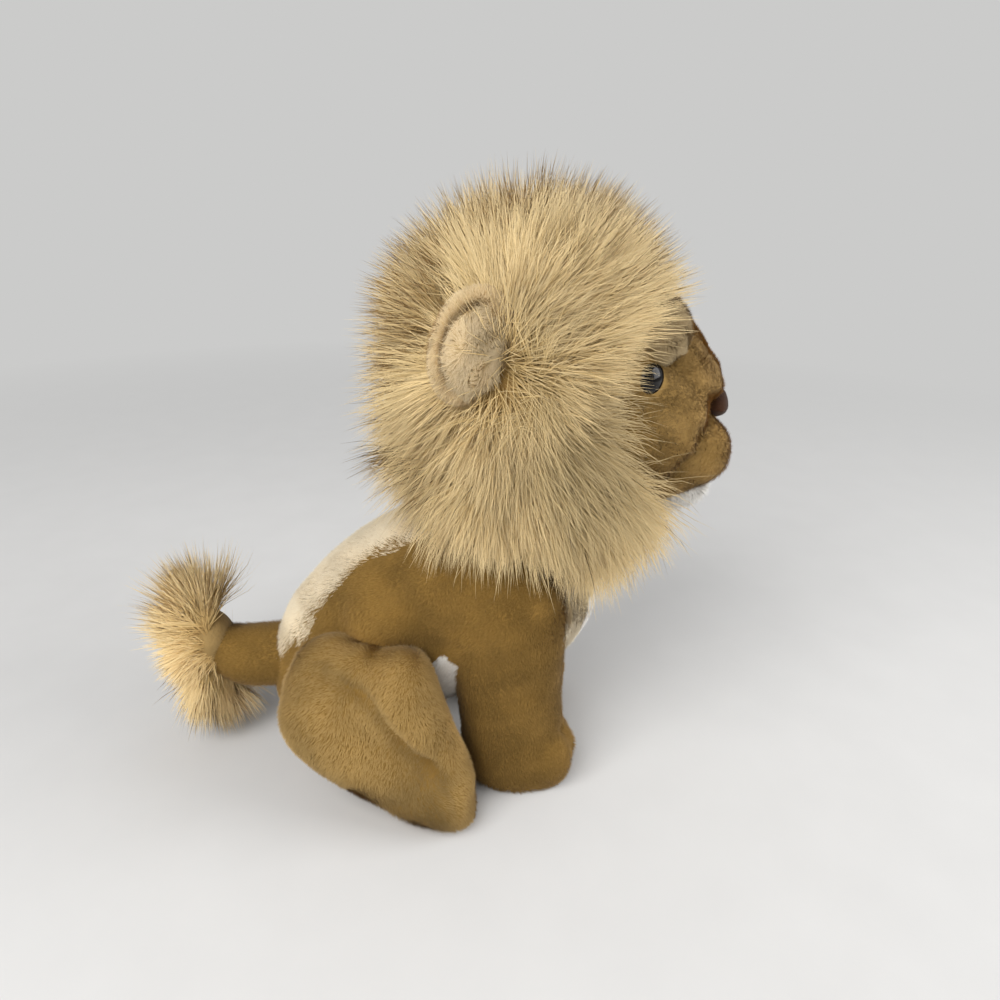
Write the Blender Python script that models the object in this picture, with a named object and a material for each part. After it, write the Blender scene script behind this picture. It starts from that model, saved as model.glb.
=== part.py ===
"""A sitting plush lion, built as its separate stuffed pieces.

Metres, +Z up. The lion faces -Y and +X is its own left. The origin is the centre of
the flat seat panel under the rump, on the floor. Places are given as (out, ahead, up):
out to one side of the middle plane, ahead of the seat's centre, and up from the floor.
"""

from math import acos, cos, pi, radians, sin, sqrt

import bmesh
import bpy
from mathutils import Matrix, Vector

# Running gap between neighbouring pieces, and what a cutter runs past its piece
CLEARANCE = 0.0003
OVERRUN = 0.050

# Torso
TORSO_LENGTH = 0.154
TORSO_HEIGHT = 0.119
TORSO_WIDTH = 0.088
TORSO_REAR = -0.043

# Seat panel and the pellet pouch above it
SEAT_LENGTH = 0.048
SEAT_WIDTH = 0.054
PANEL_THICKNESS = 0.0016
POUCH_LENGTH = 0.038
POUCH_WIDTH = 0.040
POUCH_HEIGHT = 0.024
POUCH_END_SHARE = 0.65
POUCH_TOP = PANEL_THICKNESS + CLEARANCE + POUCH_HEIGHT

# Front legs
SHOULDER_ALONG_SHARE = 0.7403
SHOULDER_UP_SHARE = 0.6723
LEG_OUT_SHARE = 0.3455
SHOULDER_AHEAD = TORSO_REAR + SHOULDER_ALONG_SHARE * TORSO_LENGTH
SHOULDER_UP = SHOULDER_UP_SHARE * TORSO_HEIGHT
LEG_OUT = LEG_OUT_SHARE * TORSO_WIDTH
LEG_WIDTH = 0.0322
LEG_DEPTH = 0.050
PAW_STEP = 0.0055
LEG_SWING_FORWARD = radians(15)
LEG_SWING_BACK = radians(3)
BAY_REAR_ROOM = radians(1)
BAY_FRONT_ROOM = radians(20)

# Neck: a ball in the shoulders with a stem up into the head
NECK_ALONG_SHARE = 0.7013
NECK_UP_SHARE = 0.8824
NECK_AHEAD = TORSO_REAR + NECK_ALONG_SHARE * TORSO_LENGTH
NECK_UP = NECK_UP_SHARE * TORSO_HEIGHT
NECK_BALL_SHARE = 0.82
NECK_STEM_WIDTH_SHARE = 0.75
NECK_BALL_RADIUS = NECK_BALL_SHARE * (LEG_OUT - LEG_WIDTH / 2)
NECK_STEM_RADIUS = NECK_STEM_WIDTH_SHARE * NECK_BALL_RADIUS
NOD_LIMIT = radians(8)

# Head, carried over the neck
HEAD_LENGTH = 0.131
HEAD_HEIGHT = 0.104
HEAD_WIDTH = 0.098
HEAD_BEHIND_NECK_SHARE = 0.2824
HEAD_ABOVE_NECK_SHARE = 0.7596
NECK_STEM_SHARE = 0.3942
HEAD_REAR = NECK_AHEAD - HEAD_BEHIND_NECK_SHARE * HEAD_LENGTH
HEAD_UP = NECK_UP + HEAD_ABOVE_NECK_SHARE * HEAD_HEIGHT
NECK_STEM_LENGTH = NECK_STEM_SHARE * HEAD_HEIGHT

# Muzzle pads, chin and nose
MUZZLE_WIDTH = 0.0245
MUZZLE_DEPTH = 0.030
MUZZLE_HEIGHT = 0.030
CHIN_WIDTH = 0.027
CHIN_DEPTH = 0.027
CHIN_HEIGHT = 0.019
NOSE_WIDTH = 0.018
NOSE_DEPTH = 0.013
NOSE_HEIGHT = 0.013
NOSE_TIP_SHARE = 0.42
NOSE_FULLNESS_SHARE = 0.6

# Brow patches
BROW_WIDTH = 0.018
BROW_DEPTH = 0.020
BROW_HEIGHT = 0.023

# Eyes: a glossy dome, its shank, and the washer that locks it inside the head
EYE_TURN = radians(45)
EYE_RADIUS = 0.0073
EYE_DOME_HEIGHT = 0.0052
EYE_SEAT_DEPTH = 0.0025
SHANK_RADIUS = 0.0021
SHANK_LENGTH = 0.0125
WASHER_RADIUS = 0.0060
WASHER_THICKNESS = 0.0014
WASHER_DEPTH = 0.0065

# Ears
EAR_LENGTH = 0.029
EAR_HEIGHT = 0.042
EAR_THICKNESS = 0.010
EAR_LEAN = radians(16)
EAR_FLARE = radians(16)
EAR_RIM_SHARE = 0.74
EAR_HOLLOW_DEPTH = 0.0042
LINING_THICKNESS = 0.0022
EAR_ROOT_RADIUS = 0.0030
EAR_ROOT_LENGTH = 0.026
EAR_ROOT_SHARE = 0.8
EAR_POCKET_ROOM = 0.0045

# Places on the head: out as a share of its width, along from its rear as a share of its
# length, and rise above its middle as a share of its height
head_place_shares = {
    "muzzle": (0.1204, 0.9313, -0.2500),
    "chin": (0.0000, 0.8702, -0.4567),
    "nose": (0.0000, 0.9924, -0.0721),
    "brow": (0.2092, 0.7786, 0.2163),
    "eye": (0.3367, 0.7137, 0.0817),
    "ear": (0.5102, 0.2137, 0.2260),
    "mane": (0.0000, 0.3939, 0.0000),
    "face_opening": (0.0000, 1.0840, -0.0577),
}

# Mane: how far its fur stands off the head above and at the sides
MANE_DEPTH = 0.0270
MANE_SIDE_DEPTH = 0.0185
MANE_RADIUS = HEAD_HEIGHT / 2 + MANE_DEPTH
MANE_HALF_WIDTH = HEAD_WIDTH / 2 + MANE_SIDE_DEPTH
MANE_CORE_SHARE = 0.45
MANE_FULLNESS_SHARE = 0.92
MANE_SEAM_SHARE = 0.55
SHOULDER_SEAM_SHARE = 0.30

# The mane's underside clears the shoulders along a ball about the neck and along its hem
SHOULDER_BALL_SHARE = 0.3786
SHOULDER_BALL_RADIUS = SHOULDER_BALL_SHARE * TORSO_LENGTH
HEM_REAR_BEHIND_NECK = 0.055
HEM_REAR_ABOVE_NECK = 0.022
HEM_FRONT_BEHIND_NECK = 0.003
HEM_FRONT_BELOW_NECK = 0.012

# Turns of the mane's pieces as shares of a full turn, from straight ahead over the crown
# and round to the chest
MANE_CROWN_START_SHARE = 0.095
MANE_CROWN_END_SHARE = 0.365
MANE_BACK_END_SHARE = 21 / 32
MANE_RUFF_START_SHARE = 26 / 32
MANE_RUFF_END_SHARE = 0.975

# Opening of the mane for the face
FACE_DEPTH = 0.118
FACE_WIDTH = 0.240
FACE_HEIGHT = 0.112

# Hind legs: a thigh and the foot in front of it
HIP_ALONG_SHARE = 0.3442
HIP_UP_SHARE = 0.4454
HIP_FACE_SHARE = 0.3864
HIP_AHEAD = TORSO_REAR + HIP_ALONG_SHARE * TORSO_LENGTH
HIP_UP = HIP_UP_SHARE * TORSO_HEIGHT
HIP_FACE_OUT = HIP_FACE_SHARE * TORSO_WIDTH
THIGH_WIDTH = 0.041
THIGH_LENGTH = 0.075
THIGH_HEIGHT = 0.057
THIGH_DIP = radians(12)
THIGH_BURY_SHARE = 0.134
THIGH_OUT = HIP_FACE_OUT + THIGH_WIDTH / 2 - THIGH_BURY_SHARE * THIGH_WIDTH
FOOT_LENGTH = 0.063
FOOT_WIDTH = 0.0290
FOOT_HEIGHT = 0.0310
FOOT_HEEL_BEHIND_HIP = 0.016
FOOT_HEEL_BEYOND_HIP = 0.0015
FOOT_SPLAY = 0.0125
FOOT_RISE = 0.022
FOOT_SINK_SHARE = 0.02
FOOT_SOLE_SHARE = 0.6

# White panel along the underside and up the chest
BELLY_THICKNESS = 0.0015
BELLY_REAR_SHARE = 0.3701
BELLY_WIDTH_SHARE = 0.5227
BELLY_BOTTOM_SHARE = 0.1667
BELLY_TOP_SHARE = 0.5042
CHEST_TOP_SHARE = 0.7395
BELLY_LEG_ROOM_SHARE = 0.6

# Tail
TAIL_ALONG_SHARE = 0.0162
TAIL_UP_SHARE = 0.3782
TAIL_AHEAD = TORSO_REAR + TAIL_ALONG_SHARE * TORSO_LENGTH
TAIL_UP = TAIL_UP_SHARE * TORSO_HEIGHT
TAIL_RADIUS = 0.0150
TAIL_RUN = 0.038
TAIL_RISE = 0.012
TAIL_DIP_SHARE = 0.35
TAIL_SLIM_SHARE = 0.24
TUFT_HEIGHT = 0.091
TUFT_LENGTH = 0.048
TUFT_WIDTH = 0.050
TUFT_ALONG_SHARE = 1.092
TUFT_DROP_SHARE = 0.4505

# Colours: linear red, green, blue
GOLD_VELOUR = (0.262, 0.158, 0.052)
PALE_VELOUR = (0.402, 0.280, 0.138)
CREAM_PLUSH = (0.504, 0.366, 0.194)
MANE_FUR = (0.510, 0.352, 0.170)
WHITE_PLUSH = (0.680, 0.650, 0.600)
NOSE_BROWN = (0.080, 0.042, 0.024)
EYE_BLACK = (0.008, 0.007, 0.006)
WHITE_PLASTIC = (0.700, 0.700, 0.680)
CANVAS = (0.420, 0.400, 0.360)

# Rings of the torso from seat to shoulders: up, rear end, front end, width
torso_ring_shares = (
    (0.00, 0.120, 0.420, 0.60),
    (0.10, 0.040, 0.485, 0.70),
    (0.22, 0.006, 0.560, 0.745),
    (0.32, 0.000, 0.670, 0.76),
    (0.40, 0.008, 0.860, 0.78),
    (0.51, 0.035, 0.960, 0.85),
    (0.65, 0.095, 1.000, 0.95),
    (0.78, 0.185, 0.985, 1.00),
    (0.88, 0.275, 0.945, 0.97),
    (0.96, 0.380, 0.870, 0.80),
    (1.00, 0.480, 0.780, 0.48),
)

# Rings of the head from its back to the bridge of the nose: ahead, middle's rise above
# HEAD_UP as a share of HEAD_HEIGHT, height, width
head_ring_shares = (
    (0.00, -0.030, 0.00, 0.00),
    (0.06, -0.025, 0.52, 0.52),
    (0.16, -0.010, 0.80, 0.83),
    (0.28, 0.000, 0.96, 0.97),
    (0.40, 0.000, 1.00, 1.00),
    (0.53, -0.008, 1.00, 0.94),
    (0.64, -0.033, 0.985, 0.86),
    (0.73, -0.060, 0.955, 0.77),
    (0.81, -0.100, 0.880, 0.68),
    (0.88, -0.145, 0.770, 0.60),
    (0.94, -0.178, 0.620, 0.48),
    (0.98, -0.190, 0.420, 0.34),
    (1.00, -0.190, 0.00, 0.00),
)

# Outline of the mane in the middle plane: turn about the head's middle, from ahead over
# the crown and round to the chest, and radius
mane_profile_shares = (
    (0.100, 0.800),
    (0.145, 0.905),
    (0.195, 0.975),
    (0.247, 1.000),
    (0.344, 0.940),
    (0.417, 0.870),
    (0.500, 0.815),
    (0.570, 0.880),
    (0.617, 1.030),
    (0.700, 1.200),
    (0.800, 1.315),
    (0.872, 1.205),
    (0.940, 1.080),
)

# Rings of a front leg below the shoulder: up, middle's place between shoulder and paw,
# depth, width
leg_ring_shares = (
    (0.00, 1.00, 0.84, 0.86),
    (0.07, 1.00, 0.99, 0.97),
    (0.17, 0.98, 1.03, 1.00),
    (0.29, 0.80, 1.00, 1.00),
    (0.41, 0.45, 0.94, 0.98),
    (0.55, 0.15, 0.93, 0.97),
    (0.76, 0.00, 0.97, 0.98),
    (1.00, 0.00, 1.00, 1.00),
)

# Rings of a hind foot from heel to toe: along, rise of the heel, height, width
foot_ring_shares = (
    (0.00, 1.00, 0.00, 0.00),
    (0.05, 0.95, 0.55, 0.55),
    (0.18, 0.72, 0.90, 0.88),
    (0.36, 0.40, 1.02, 0.96),
    (0.56, 0.12, 1.00, 0.98),
    (0.78, 0.00, 1.00, 1.00),
    (0.91, 0.00, 0.84, 0.84),
    (0.975, 0.00, 0.48, 0.50),
    (1.00, 0.00, 0.00, 0.00),
)

# Rings of the tuft from its lower tip up: up, middle's shift back, length, width
tuft_ring_shares = (
    (0.00, 0.25, 0.00, 0.00),
    (0.05, 0.22, 0.26, 0.26),
    (0.20, 0.12, 0.68, 0.66),
    (0.40, 0.00, 0.98, 0.95),
    (0.58, 0.00, 1.00, 1.00),
    (0.76, 0.03, 0.80, 0.84),
    (0.90, 0.05, 0.46, 0.50),
    (0.98, 0.05, 0.18, 0.20),
    (1.00, 0.05, 0.00, 0.00),
)

RING_SIDES = 24
SMALL_SIDES = 16
HALF_STEP_SHARE = 0.5


def at(out, ahead, up):
    """The world point for a place told as out, ahead and up."""
    return Vector((out, -ahead, up))


def on_head(name, side=0):
    """The place on the head that the table gives under a name, to one side."""
    out, along, rise = head_place_shares[name]
    return at(side * out * HEAD_WIDTH, HEAD_REAR + along * HEAD_LENGTH, HEAD_UP + rise * HEAD_HEIGHT)


def make_material(name, colour, roughness, metallic=0.0):
    material = bpy.data.materials.new(name)
    material.use_nodes = True
    shader = material.node_tree.nodes["Principled BSDF"]
    shader.inputs["Base Color"].default_value = (*colour, 1.0)
    shader.inputs["Roughness"].default_value = roughness
    shader.inputs["Metallic"].default_value = metallic
    return material


def make_object(name, mesh_builder, colour=GOLD_VELOUR, roughness=0.9):
    """One object from a filled bmesh, with its own material."""
    bmesh.ops.remove_doubles(mesh_builder, verts=mesh_builder.verts, dist=CLEARANCE / 10)
    bmesh.ops.recalc_face_normals(mesh_builder, faces=mesh_builder.faces)
    bmesh.ops.triangulate(mesh_builder, faces=mesh_builder.faces)
    mesh = bpy.data.meshes.new(name)
    mesh_builder.to_mesh(mesh)
    mesh_builder.free()
    mesh.shade_smooth()
    mesh.materials.append(make_material(name, colour, roughness))
    obj = bpy.data.objects.new(name, mesh)
    bpy.context.scene.collection.objects.link(obj)
    return obj


def as_cutter(obj):
    obj.hide_render = True
    obj.display_type = "WIRE"
    return obj


def use_boolean(obj, other, operation="DIFFERENCE"):
    modifier = obj.modifiers.new(operation.lower() + "_" + other.name, "BOOLEAN")
    modifier.operation = operation
    modifier.object = other
    modifier.solver = "EXACT"


def weld_cuts():
    """Joins the double points that cuts leave along their edges."""
    for obj in bpy.data.objects:
        if obj.modifiers:
            modifier = obj.modifiers.new("weld", "WELD")
            modifier.merge_threshold = CLEARANCE / 100


def blend_rows(rows, steps):
    """Rows of a table joined by smooth curves, with this many steps to each stretch."""
    last = len(rows) - 1
    blended = []
    for i in range(last):
        before, first = rows[max(i - 1, 0)], rows[i]
        second, after = rows[i + 1], rows[min(i + 2, last)]
        for step in range(steps):
            t = step / steps
            row = []
            for a, b, c, d in zip(before, first, second, after):
                value = b + t * (c - a) / 2
                value += t * t * (a - 5 * b / 2 + 2 * c - d / 2)
                value += t * t * t * (3 * (b - c) + d - a) / 2
                row.append(value)
            blended.append(tuple(row))
    blended.append(tuple(rows[last]))
    return blended


def add_loft(mesh_builder, rings, sides, start_share=0.0):
    """Joins rings of (middle, half vector, half vector), each begun at a share of a step,
    and closes both ends."""
    loops = []
    for middle, first, second in rings:
        if first.length < CLEARANCE / 100:
            loops.append([mesh_builder.verts.new(middle)])
            continue
        turns = [2 * pi * (i + start_share) / sides for i in range(sides)]
        points = [middle + first * cos(turn) + second * sin(turn) for turn in turns]
        loops.append([mesh_builder.verts.new(point) for point in points])
    for low, high in zip(loops, loops[1:]):
        for i in range(sides):
            j = (i + 1) % sides
            corners = [low[i % len(low)], low[j % len(low)], high[j % len(high)], high[i % len(high)]]
            corners = list(dict.fromkeys(corners))
            mesh_builder.faces.new(corners)
    for loop in (loops[0], loops[-1]):
        if len(loop) > 1:
            mesh_builder.faces.new(loop)


def loft(name, rings, sides=RING_SIDES, colour=GOLD_VELOUR, roughness=0.9, start_share=0.0):
    mesh_builder = bmesh.new()
    add_loft(mesh_builder, rings, sides, start_share)
    return make_object(name, mesh_builder, colour, roughness)


def ellipsoid_rings(middle, first, second, third, steps):
    """Rings of an ellipsoid along its third half axis."""
    rings = []
    for step in range(steps + 1):
        turn = pi * step / steps
        size = 0.0 if step in (0, steps) else sin(turn)
        rings.append((middle - third * cos(turn), first * size, second * size))
    return rings


def ellipsoid(name, middle, halves, steps=10, sides=SMALL_SIDES, turned=None, **look):
    """An ellipsoid from its middle and half sizes out, ahead and up, turned if asked."""
    turned = turned or Matrix.Identity(3)
    out, ahead, up = halves
    axes = [turned @ Vector(axis) for axis in ((out, 0, 0), (0, -ahead, 0), (0, 0, up))]
    return loft(name, ellipsoid_rings(middle, *axes, steps), sides, start_share=HALF_STEP_SHARE, **look)


def turned_piece(name, base, axis, profile, sides=SMALL_SIDES, **look):
    """A turned piece from (along, radius) points about an axis."""
    axis = axis.normalized()
    across = axis.orthogonal().normalized()
    other = axis.cross(across)
    rings = [(base + axis * along, across * radius, other * radius) for along, radius in profile]
    return loft(name, rings, sides, start_share=HALF_STEP_SHARE, **look)


def box(name, low, high, **look):
    """A box between two corners."""
    mesh_builder = bmesh.new()
    middle = (low + high) / 2
    size = high - low
    lengths = [abs(value) for value in size]
    matrix = Matrix.Translation(middle) @ Matrix.Diagonal((*lengths, 1))
    bmesh.ops.create_cube(mesh_builder, size=1, matrix=matrix)
    return make_object(name, mesh_builder, **look)


def prism(name, outline, low, high):
    """A prism between two places out, from an outline of (ahead, up) points."""
    mesh_builder = bmesh.new()
    near = [mesh_builder.verts.new(at(low, ahead, up)) for ahead, up in outline]
    far = [mesh_builder.verts.new(at(high, ahead, up)) for ahead, up in outline]
    mesh_builder.faces.new(near)
    mesh_builder.faces.new(far)
    for i in range(len(outline)):
        j = (i + 1) % len(outline)
        mesh_builder.faces.new([near[i], near[j], far[j], far[i]])
    return as_cutter(make_object(name, mesh_builder))


def pivot(name, place, parent=None):
    """An empty on a joint's axis."""
    empty = bpy.data.objects.new(name, None)
    bpy.context.scene.collection.objects.link(empty)
    empty.location = place
    if parent:
        empty.parent = parent
        empty.location = place - parent.matrix_world.translation
    bpy.context.view_layer.update()
    return empty


def carry(parent, *objects):
    """Hangs objects on a joint's empty, where they are."""
    for obj in objects:
        obj.parent = parent
        obj.matrix_parent_inverse = parent.matrix_world.inverted()


def torso_rings(grow=0.0):
    """The torso's level rings, grown by a length."""
    rings = []
    steps = 2
    for up, rear, front, width in blend_rows(torso_ring_shares, steps):
        rear_end = TORSO_REAR + rear * TORSO_LENGTH - grow
        front_end = TORSO_REAR + front * TORSO_LENGTH + grow
        half_length = (front_end - rear_end) / 2
        half_width = width * TORSO_WIDTH / 2 + grow
        middle = at(0, (rear_end + front_end) / 2, up * TORSO_HEIGHT + PANEL_THICKNESS + CLEARANCE)
        rings.append((middle, Vector((half_width, 0, 0)), Vector((0, half_length, 0))))
    if grow:
        rings[0][0].z -= grow
        rings[-1][0].z += grow
    return rings


def head_rings(grow=0.0):
    """The head's upright rings from back to front, grown by a length."""
    rings = []
    for along, rise, height, width in head_ring_shares:
        middle = at(0, HEAD_REAR + along * HEAD_LENGTH, HEAD_UP + rise * HEAD_HEIGHT)
        half_width = width * HEAD_WIDTH / 2
        half_height = height * HEAD_HEIGHT / 2
        if half_width > CLEARANCE:
            half_width += grow
            half_height += grow
        rings.append((middle, Vector((half_width, 0, 0)), Vector((0, 0, half_height))))
    rings[0] = (rings[0][0] - at(0, grow, 0), Vector(), Vector())
    rings[-1] = (rings[-1][0] + at(0, grow, 0), Vector(), Vector())
    return rings


def shoulder_bay(side):
    """What a front leg sweeps in the torso, as a prism from its inner face outwards."""
    inner = LEG_OUT - LEG_WIDTH / 2 - CLEARANCE
    radius = LEG_DEPTH / 2 + 4 * CLEARANCE
    arc_steps = 12
    rear_turn = LEG_SWING_BACK + BAY_REAR_ROOM
    front_turn = LEG_SWING_FORWARD + BAY_FRONT_ROOM
    arc = []
    for step in range(arc_steps + 1):
        turn = pi - rear_turn - (pi - rear_turn - front_turn) * step / arc_steps
        arc.append((SHOULDER_AHEAD + radius * cos(turn), SHOULDER_UP + radius * sin(turn)))
    drop = SHOULDER_UP + OVERRUN
    rear = (arc[0][0] - drop * sin(rear_turn), arc[0][1] - drop * cos(rear_turn))
    front = (arc[-1][0] + drop * sin(front_turn), arc[-1][1] - drop * cos(front_turn))
    outline = [rear, *arc, front]
    return prism("shoulder_bay_" + side_name(side), outline, side * inner, side * (TORSO_WIDTH / 2 + OVERRUN))


def side_name(side):
    return "left" if side > 0 else "right"


def hip_bay(side):
    """The round seat that a thigh turns in."""
    base = at(side * (HIP_FACE_OUT - CLEARANCE), HIP_AHEAD, HIP_UP)
    radius = THIGH_LENGTH / 2 + 2 * CLEARANCE
    profile = ((0, radius), (OVERRUN, radius))
    return as_cutter(turned_piece("hip_bay_" + side_name(side), base, Vector((side, 0, 0)), profile, RING_SIDES))


def build_torso():
    torso = loft("torso", torso_rings())
    for side in (1, -1):
        use_boolean(torso, shoulder_bay(side))
        use_boolean(torso, hip_bay(side))
    neck_place = at(0, NECK_AHEAD, NECK_UP)
    ball = NECK_BALL_RADIUS + 2 * CLEARANCE
    socket = ellipsoid("neck_socket", neck_place, (ball, ball, ball), 12, SMALL_SIDES)
    use_boolean(torso, as_cutter(socket))
    mouth_radius = NECK_STEM_RADIUS + 2 * CLEARANCE
    flare = ((0, mouth_radius), (OVERRUN, mouth_radius + OVERRUN * sin(NOD_LIMIT)))
    mouth = turned_piece("neck_mouth", neck_place, Vector((0, 0, 1)), flare)
    use_boolean(torso, as_cutter(mouth))
    tail_ball = TAIL_RADIUS + 3 * CLEARANCE
    tail_socket = ellipsoid(
        "tail_socket", at(0, TAIL_AHEAD, TAIL_UP), (tail_ball, tail_ball, tail_ball), 12, SMALL_SIDES
    )
    use_boolean(torso, as_cutter(tail_socket))
    pocket_base = at(0, 0, -OVERRUN)
    pocket = loft("pouch_pocket", oval_rings(pocket_base, POUCH_TOP + CLEARANCE + OVERRUN, CLEARANCE))
    use_boolean(torso, as_cutter(pocket))
    return torso


def oval_rings(base, height, grow):
    """Two level rings of the pouch's oval outline, grown by a length."""
    across = Vector((POUCH_WIDTH / 2 + grow, 0, 0))
    along = Vector((0, POUCH_LENGTH / 2 + grow, 0))
    return [(base, across, along), (base + at(0, 0, height), across, along)]


def build_seat_panel():
    across = Vector((SEAT_WIDTH / 2, 0, 0))
    along = Vector((0, SEAT_LENGTH / 2, 0))
    top = at(0, 0, PANEL_THICKNESS)
    return loft("seat_panel", [(at(0, 0, 0), across, along), (top, across, along)])


def build_pellet_pouch():
    """A small canvas bag of pellets, round-shouldered, low in the rump."""
    rings = []
    middle_up = PANEL_THICKNESS + CLEARANCE + POUCH_HEIGHT / 2
    steps = 8
    for step in range(steps + 1):
        turn = pi * step / steps
        level = -cos(turn)
        size = sqrt(max(0.0, 1 - level**4)) * (1 - POUCH_END_SHARE) + POUCH_END_SHARE
        across = Vector((POUCH_WIDTH / 2 * size, 0, 0))
        along = Vector((0, POUCH_LENGTH / 2 * size, 0))
        rings.append((at(0, 0, middle_up + level * POUCH_HEIGHT / 2), across, along))
    return loft("pellet_pouch", rings, SMALL_SIDES, colour=CANVAS)


def build_belly_panel():
    """A thin white skin on the torso's underside, narrow between the front legs."""
    panel = loft("belly_panel", torso_rings(CLEARANCE + BELLY_THICKNESS), colour=WHITE_PLUSH)
    low = PANEL_THICKNESS + BELLY_BOTTOM_SHARE * TORSO_HEIGHT
    rear_end = TORSO_REAR + BELLY_REAR_SHARE * TORSO_LENGTH
    middle_end = SHOULDER_AHEAD - BELLY_LEG_ROOM_SHARE * LEG_DEPTH
    half = BELLY_WIDTH_SHARE * TORSO_WIDTH / 2
    strip = LEG_OUT - LEG_WIDTH / 2 - 2 * CLEARANCE
    outline = (
        (-half, rear_end),
        (-half, middle_end),
        (-strip, middle_end),
        (-strip, TORSO_LENGTH),
        (strip, TORSO_LENGTH),
        (strip, middle_end),
        (half, middle_end),
        (half, rear_end),
    )
    mesh_builder = bmesh.new()
    bottom = [mesh_builder.verts.new(at(out, ahead, low)) for out, ahead in outline]
    top = []
    for out, ahead in outline:
        up = CHEST_TOP_SHARE if ahead > middle_end else BELLY_TOP_SHARE
        top.append(mesh_builder.verts.new(at(out, ahead, up * TORSO_HEIGHT)))
    mesh_builder.faces.new(bottom)
    mesh_builder.faces.new([top[0], top[1], top[6], top[7]])
    mesh_builder.faces.new([top[1], top[2], top[5], top[6]])
    mesh_builder.faces.new([top[2], top[3], top[4], top[5]])
    for i in range(len(outline)):
        j = (i + 1) % len(outline)
        mesh_builder.faces.new([bottom[i], bottom[j], top[j], top[i]])
    bounds = as_cutter(make_object("belly_bounds", mesh_builder))
    inner = as_cutter(loft("belly_inner", torso_rings(CLEARANCE)))
    use_boolean(panel, inner)
    use_boolean(panel, bounds, "INTERSECT")
    return panel


def build_neck():
    """A stuffed ball in the shoulders and a stem up into the head, in one turned shape."""
    meet = sqrt(NECK_BALL_RADIUS**2 - NECK_STEM_RADIUS**2)
    profile = []
    steps = 9
    last = pi - acos(meet / NECK_BALL_RADIUS)
    for step in range(steps + 1):
        turn = last * step / steps
        radius = NECK_BALL_RADIUS * sin(turn)
        profile.append((-NECK_BALL_RADIUS * cos(turn), radius))
    profile[0] = (-NECK_BALL_RADIUS, 0.0)
    profile.append((NECK_STEM_LENGTH, NECK_STEM_RADIUS))
    return turned_piece("neck", at(0, NECK_AHEAD, NECK_UP), Vector((0, 0, 1)), profile, colour=CANVAS)


def build_head():
    head = loft("head", head_rings())
    base = at(0, NECK_AHEAD, 0)
    radius = NECK_STEM_RADIUS + CLEARANCE
    socket_top = NECK_UP + NECK_STEM_LENGTH + CLEARANCE
    socket = turned_piece("head_socket", base, Vector((0, 0, 1)), ((0, radius), (socket_top, radius)))
    use_boolean(head, as_cutter(socket))
    return head


def eye_axis(side):
    return Vector((side * sin(EYE_TURN), -cos(EYE_TURN), 0))


def eye_profile(grow):
    """Shank, then the dome, as (along, radius) from the shank's inner end."""
    profile = [(-SHANK_LENGTH - grow, SHANK_RADIUS + grow), (-EYE_SEAT_DEPTH - grow, SHANK_RADIUS + grow)]
    steps = 5
    radius = EYE_RADIUS + grow
    height = EYE_DOME_HEIGHT + grow
    profile.append((-EYE_SEAT_DEPTH - grow, radius))
    for step in range(steps):
        turn = pi / 2 * step / steps
        profile.append((height * sin(turn), radius * cos(turn)))
    profile.append((height, 0.0))
    return profile


def build_eye(side, head):
    """A domed eye on its shank, with the washer that holds it inside the head."""
    place = on_head("eye", side)
    axis = eye_axis(side)
    name = side_name(side)
    eye = turned_piece("eye_" + name, place, axis, eye_profile(0.0), colour=EYE_BLACK, roughness=0.08)
    grown = eye_profile(CLEARANCE)
    seat = as_cutter(turned_piece("eye_seat_" + name, place, axis, grown))
    chamber_radius = WASHER_RADIUS + CLEARANCE
    shank_radius = SHANK_RADIUS + CLEARANCE
    chamber = (
        (-WASHER_DEPTH - WASHER_THICKNESS - CLEARANCE, shank_radius),
        (-WASHER_DEPTH - WASHER_THICKNESS - CLEARANCE, chamber_radius),
        (-WASHER_DEPTH + CLEARANCE, chamber_radius),
        (-WASHER_DEPTH + CLEARANCE, shank_radius),
    )
    socket = turned_piece("eye_socket_" + name, place, axis, (grown[0], *chamber, *grown[1:]))
    use_boolean(head, as_cutter(socket))
    disc = ((-WASHER_DEPTH - WASHER_THICKNESS, WASHER_RADIUS), (-WASHER_DEPTH, WASHER_RADIUS))
    washer = turned_piece("eye_washer_" + name, place, axis, disc, colour=WHITE_PLASTIC, roughness=0.4)
    use_boolean(washer, seat)
    return eye, washer


def grown_ellipsoid(name, place, halves):
    """The room that an ellipsoid takes with its clearance."""
    return as_cutter(ellipsoid(name, place, tuple(half + CLEARANCE for half in halves)))


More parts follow.
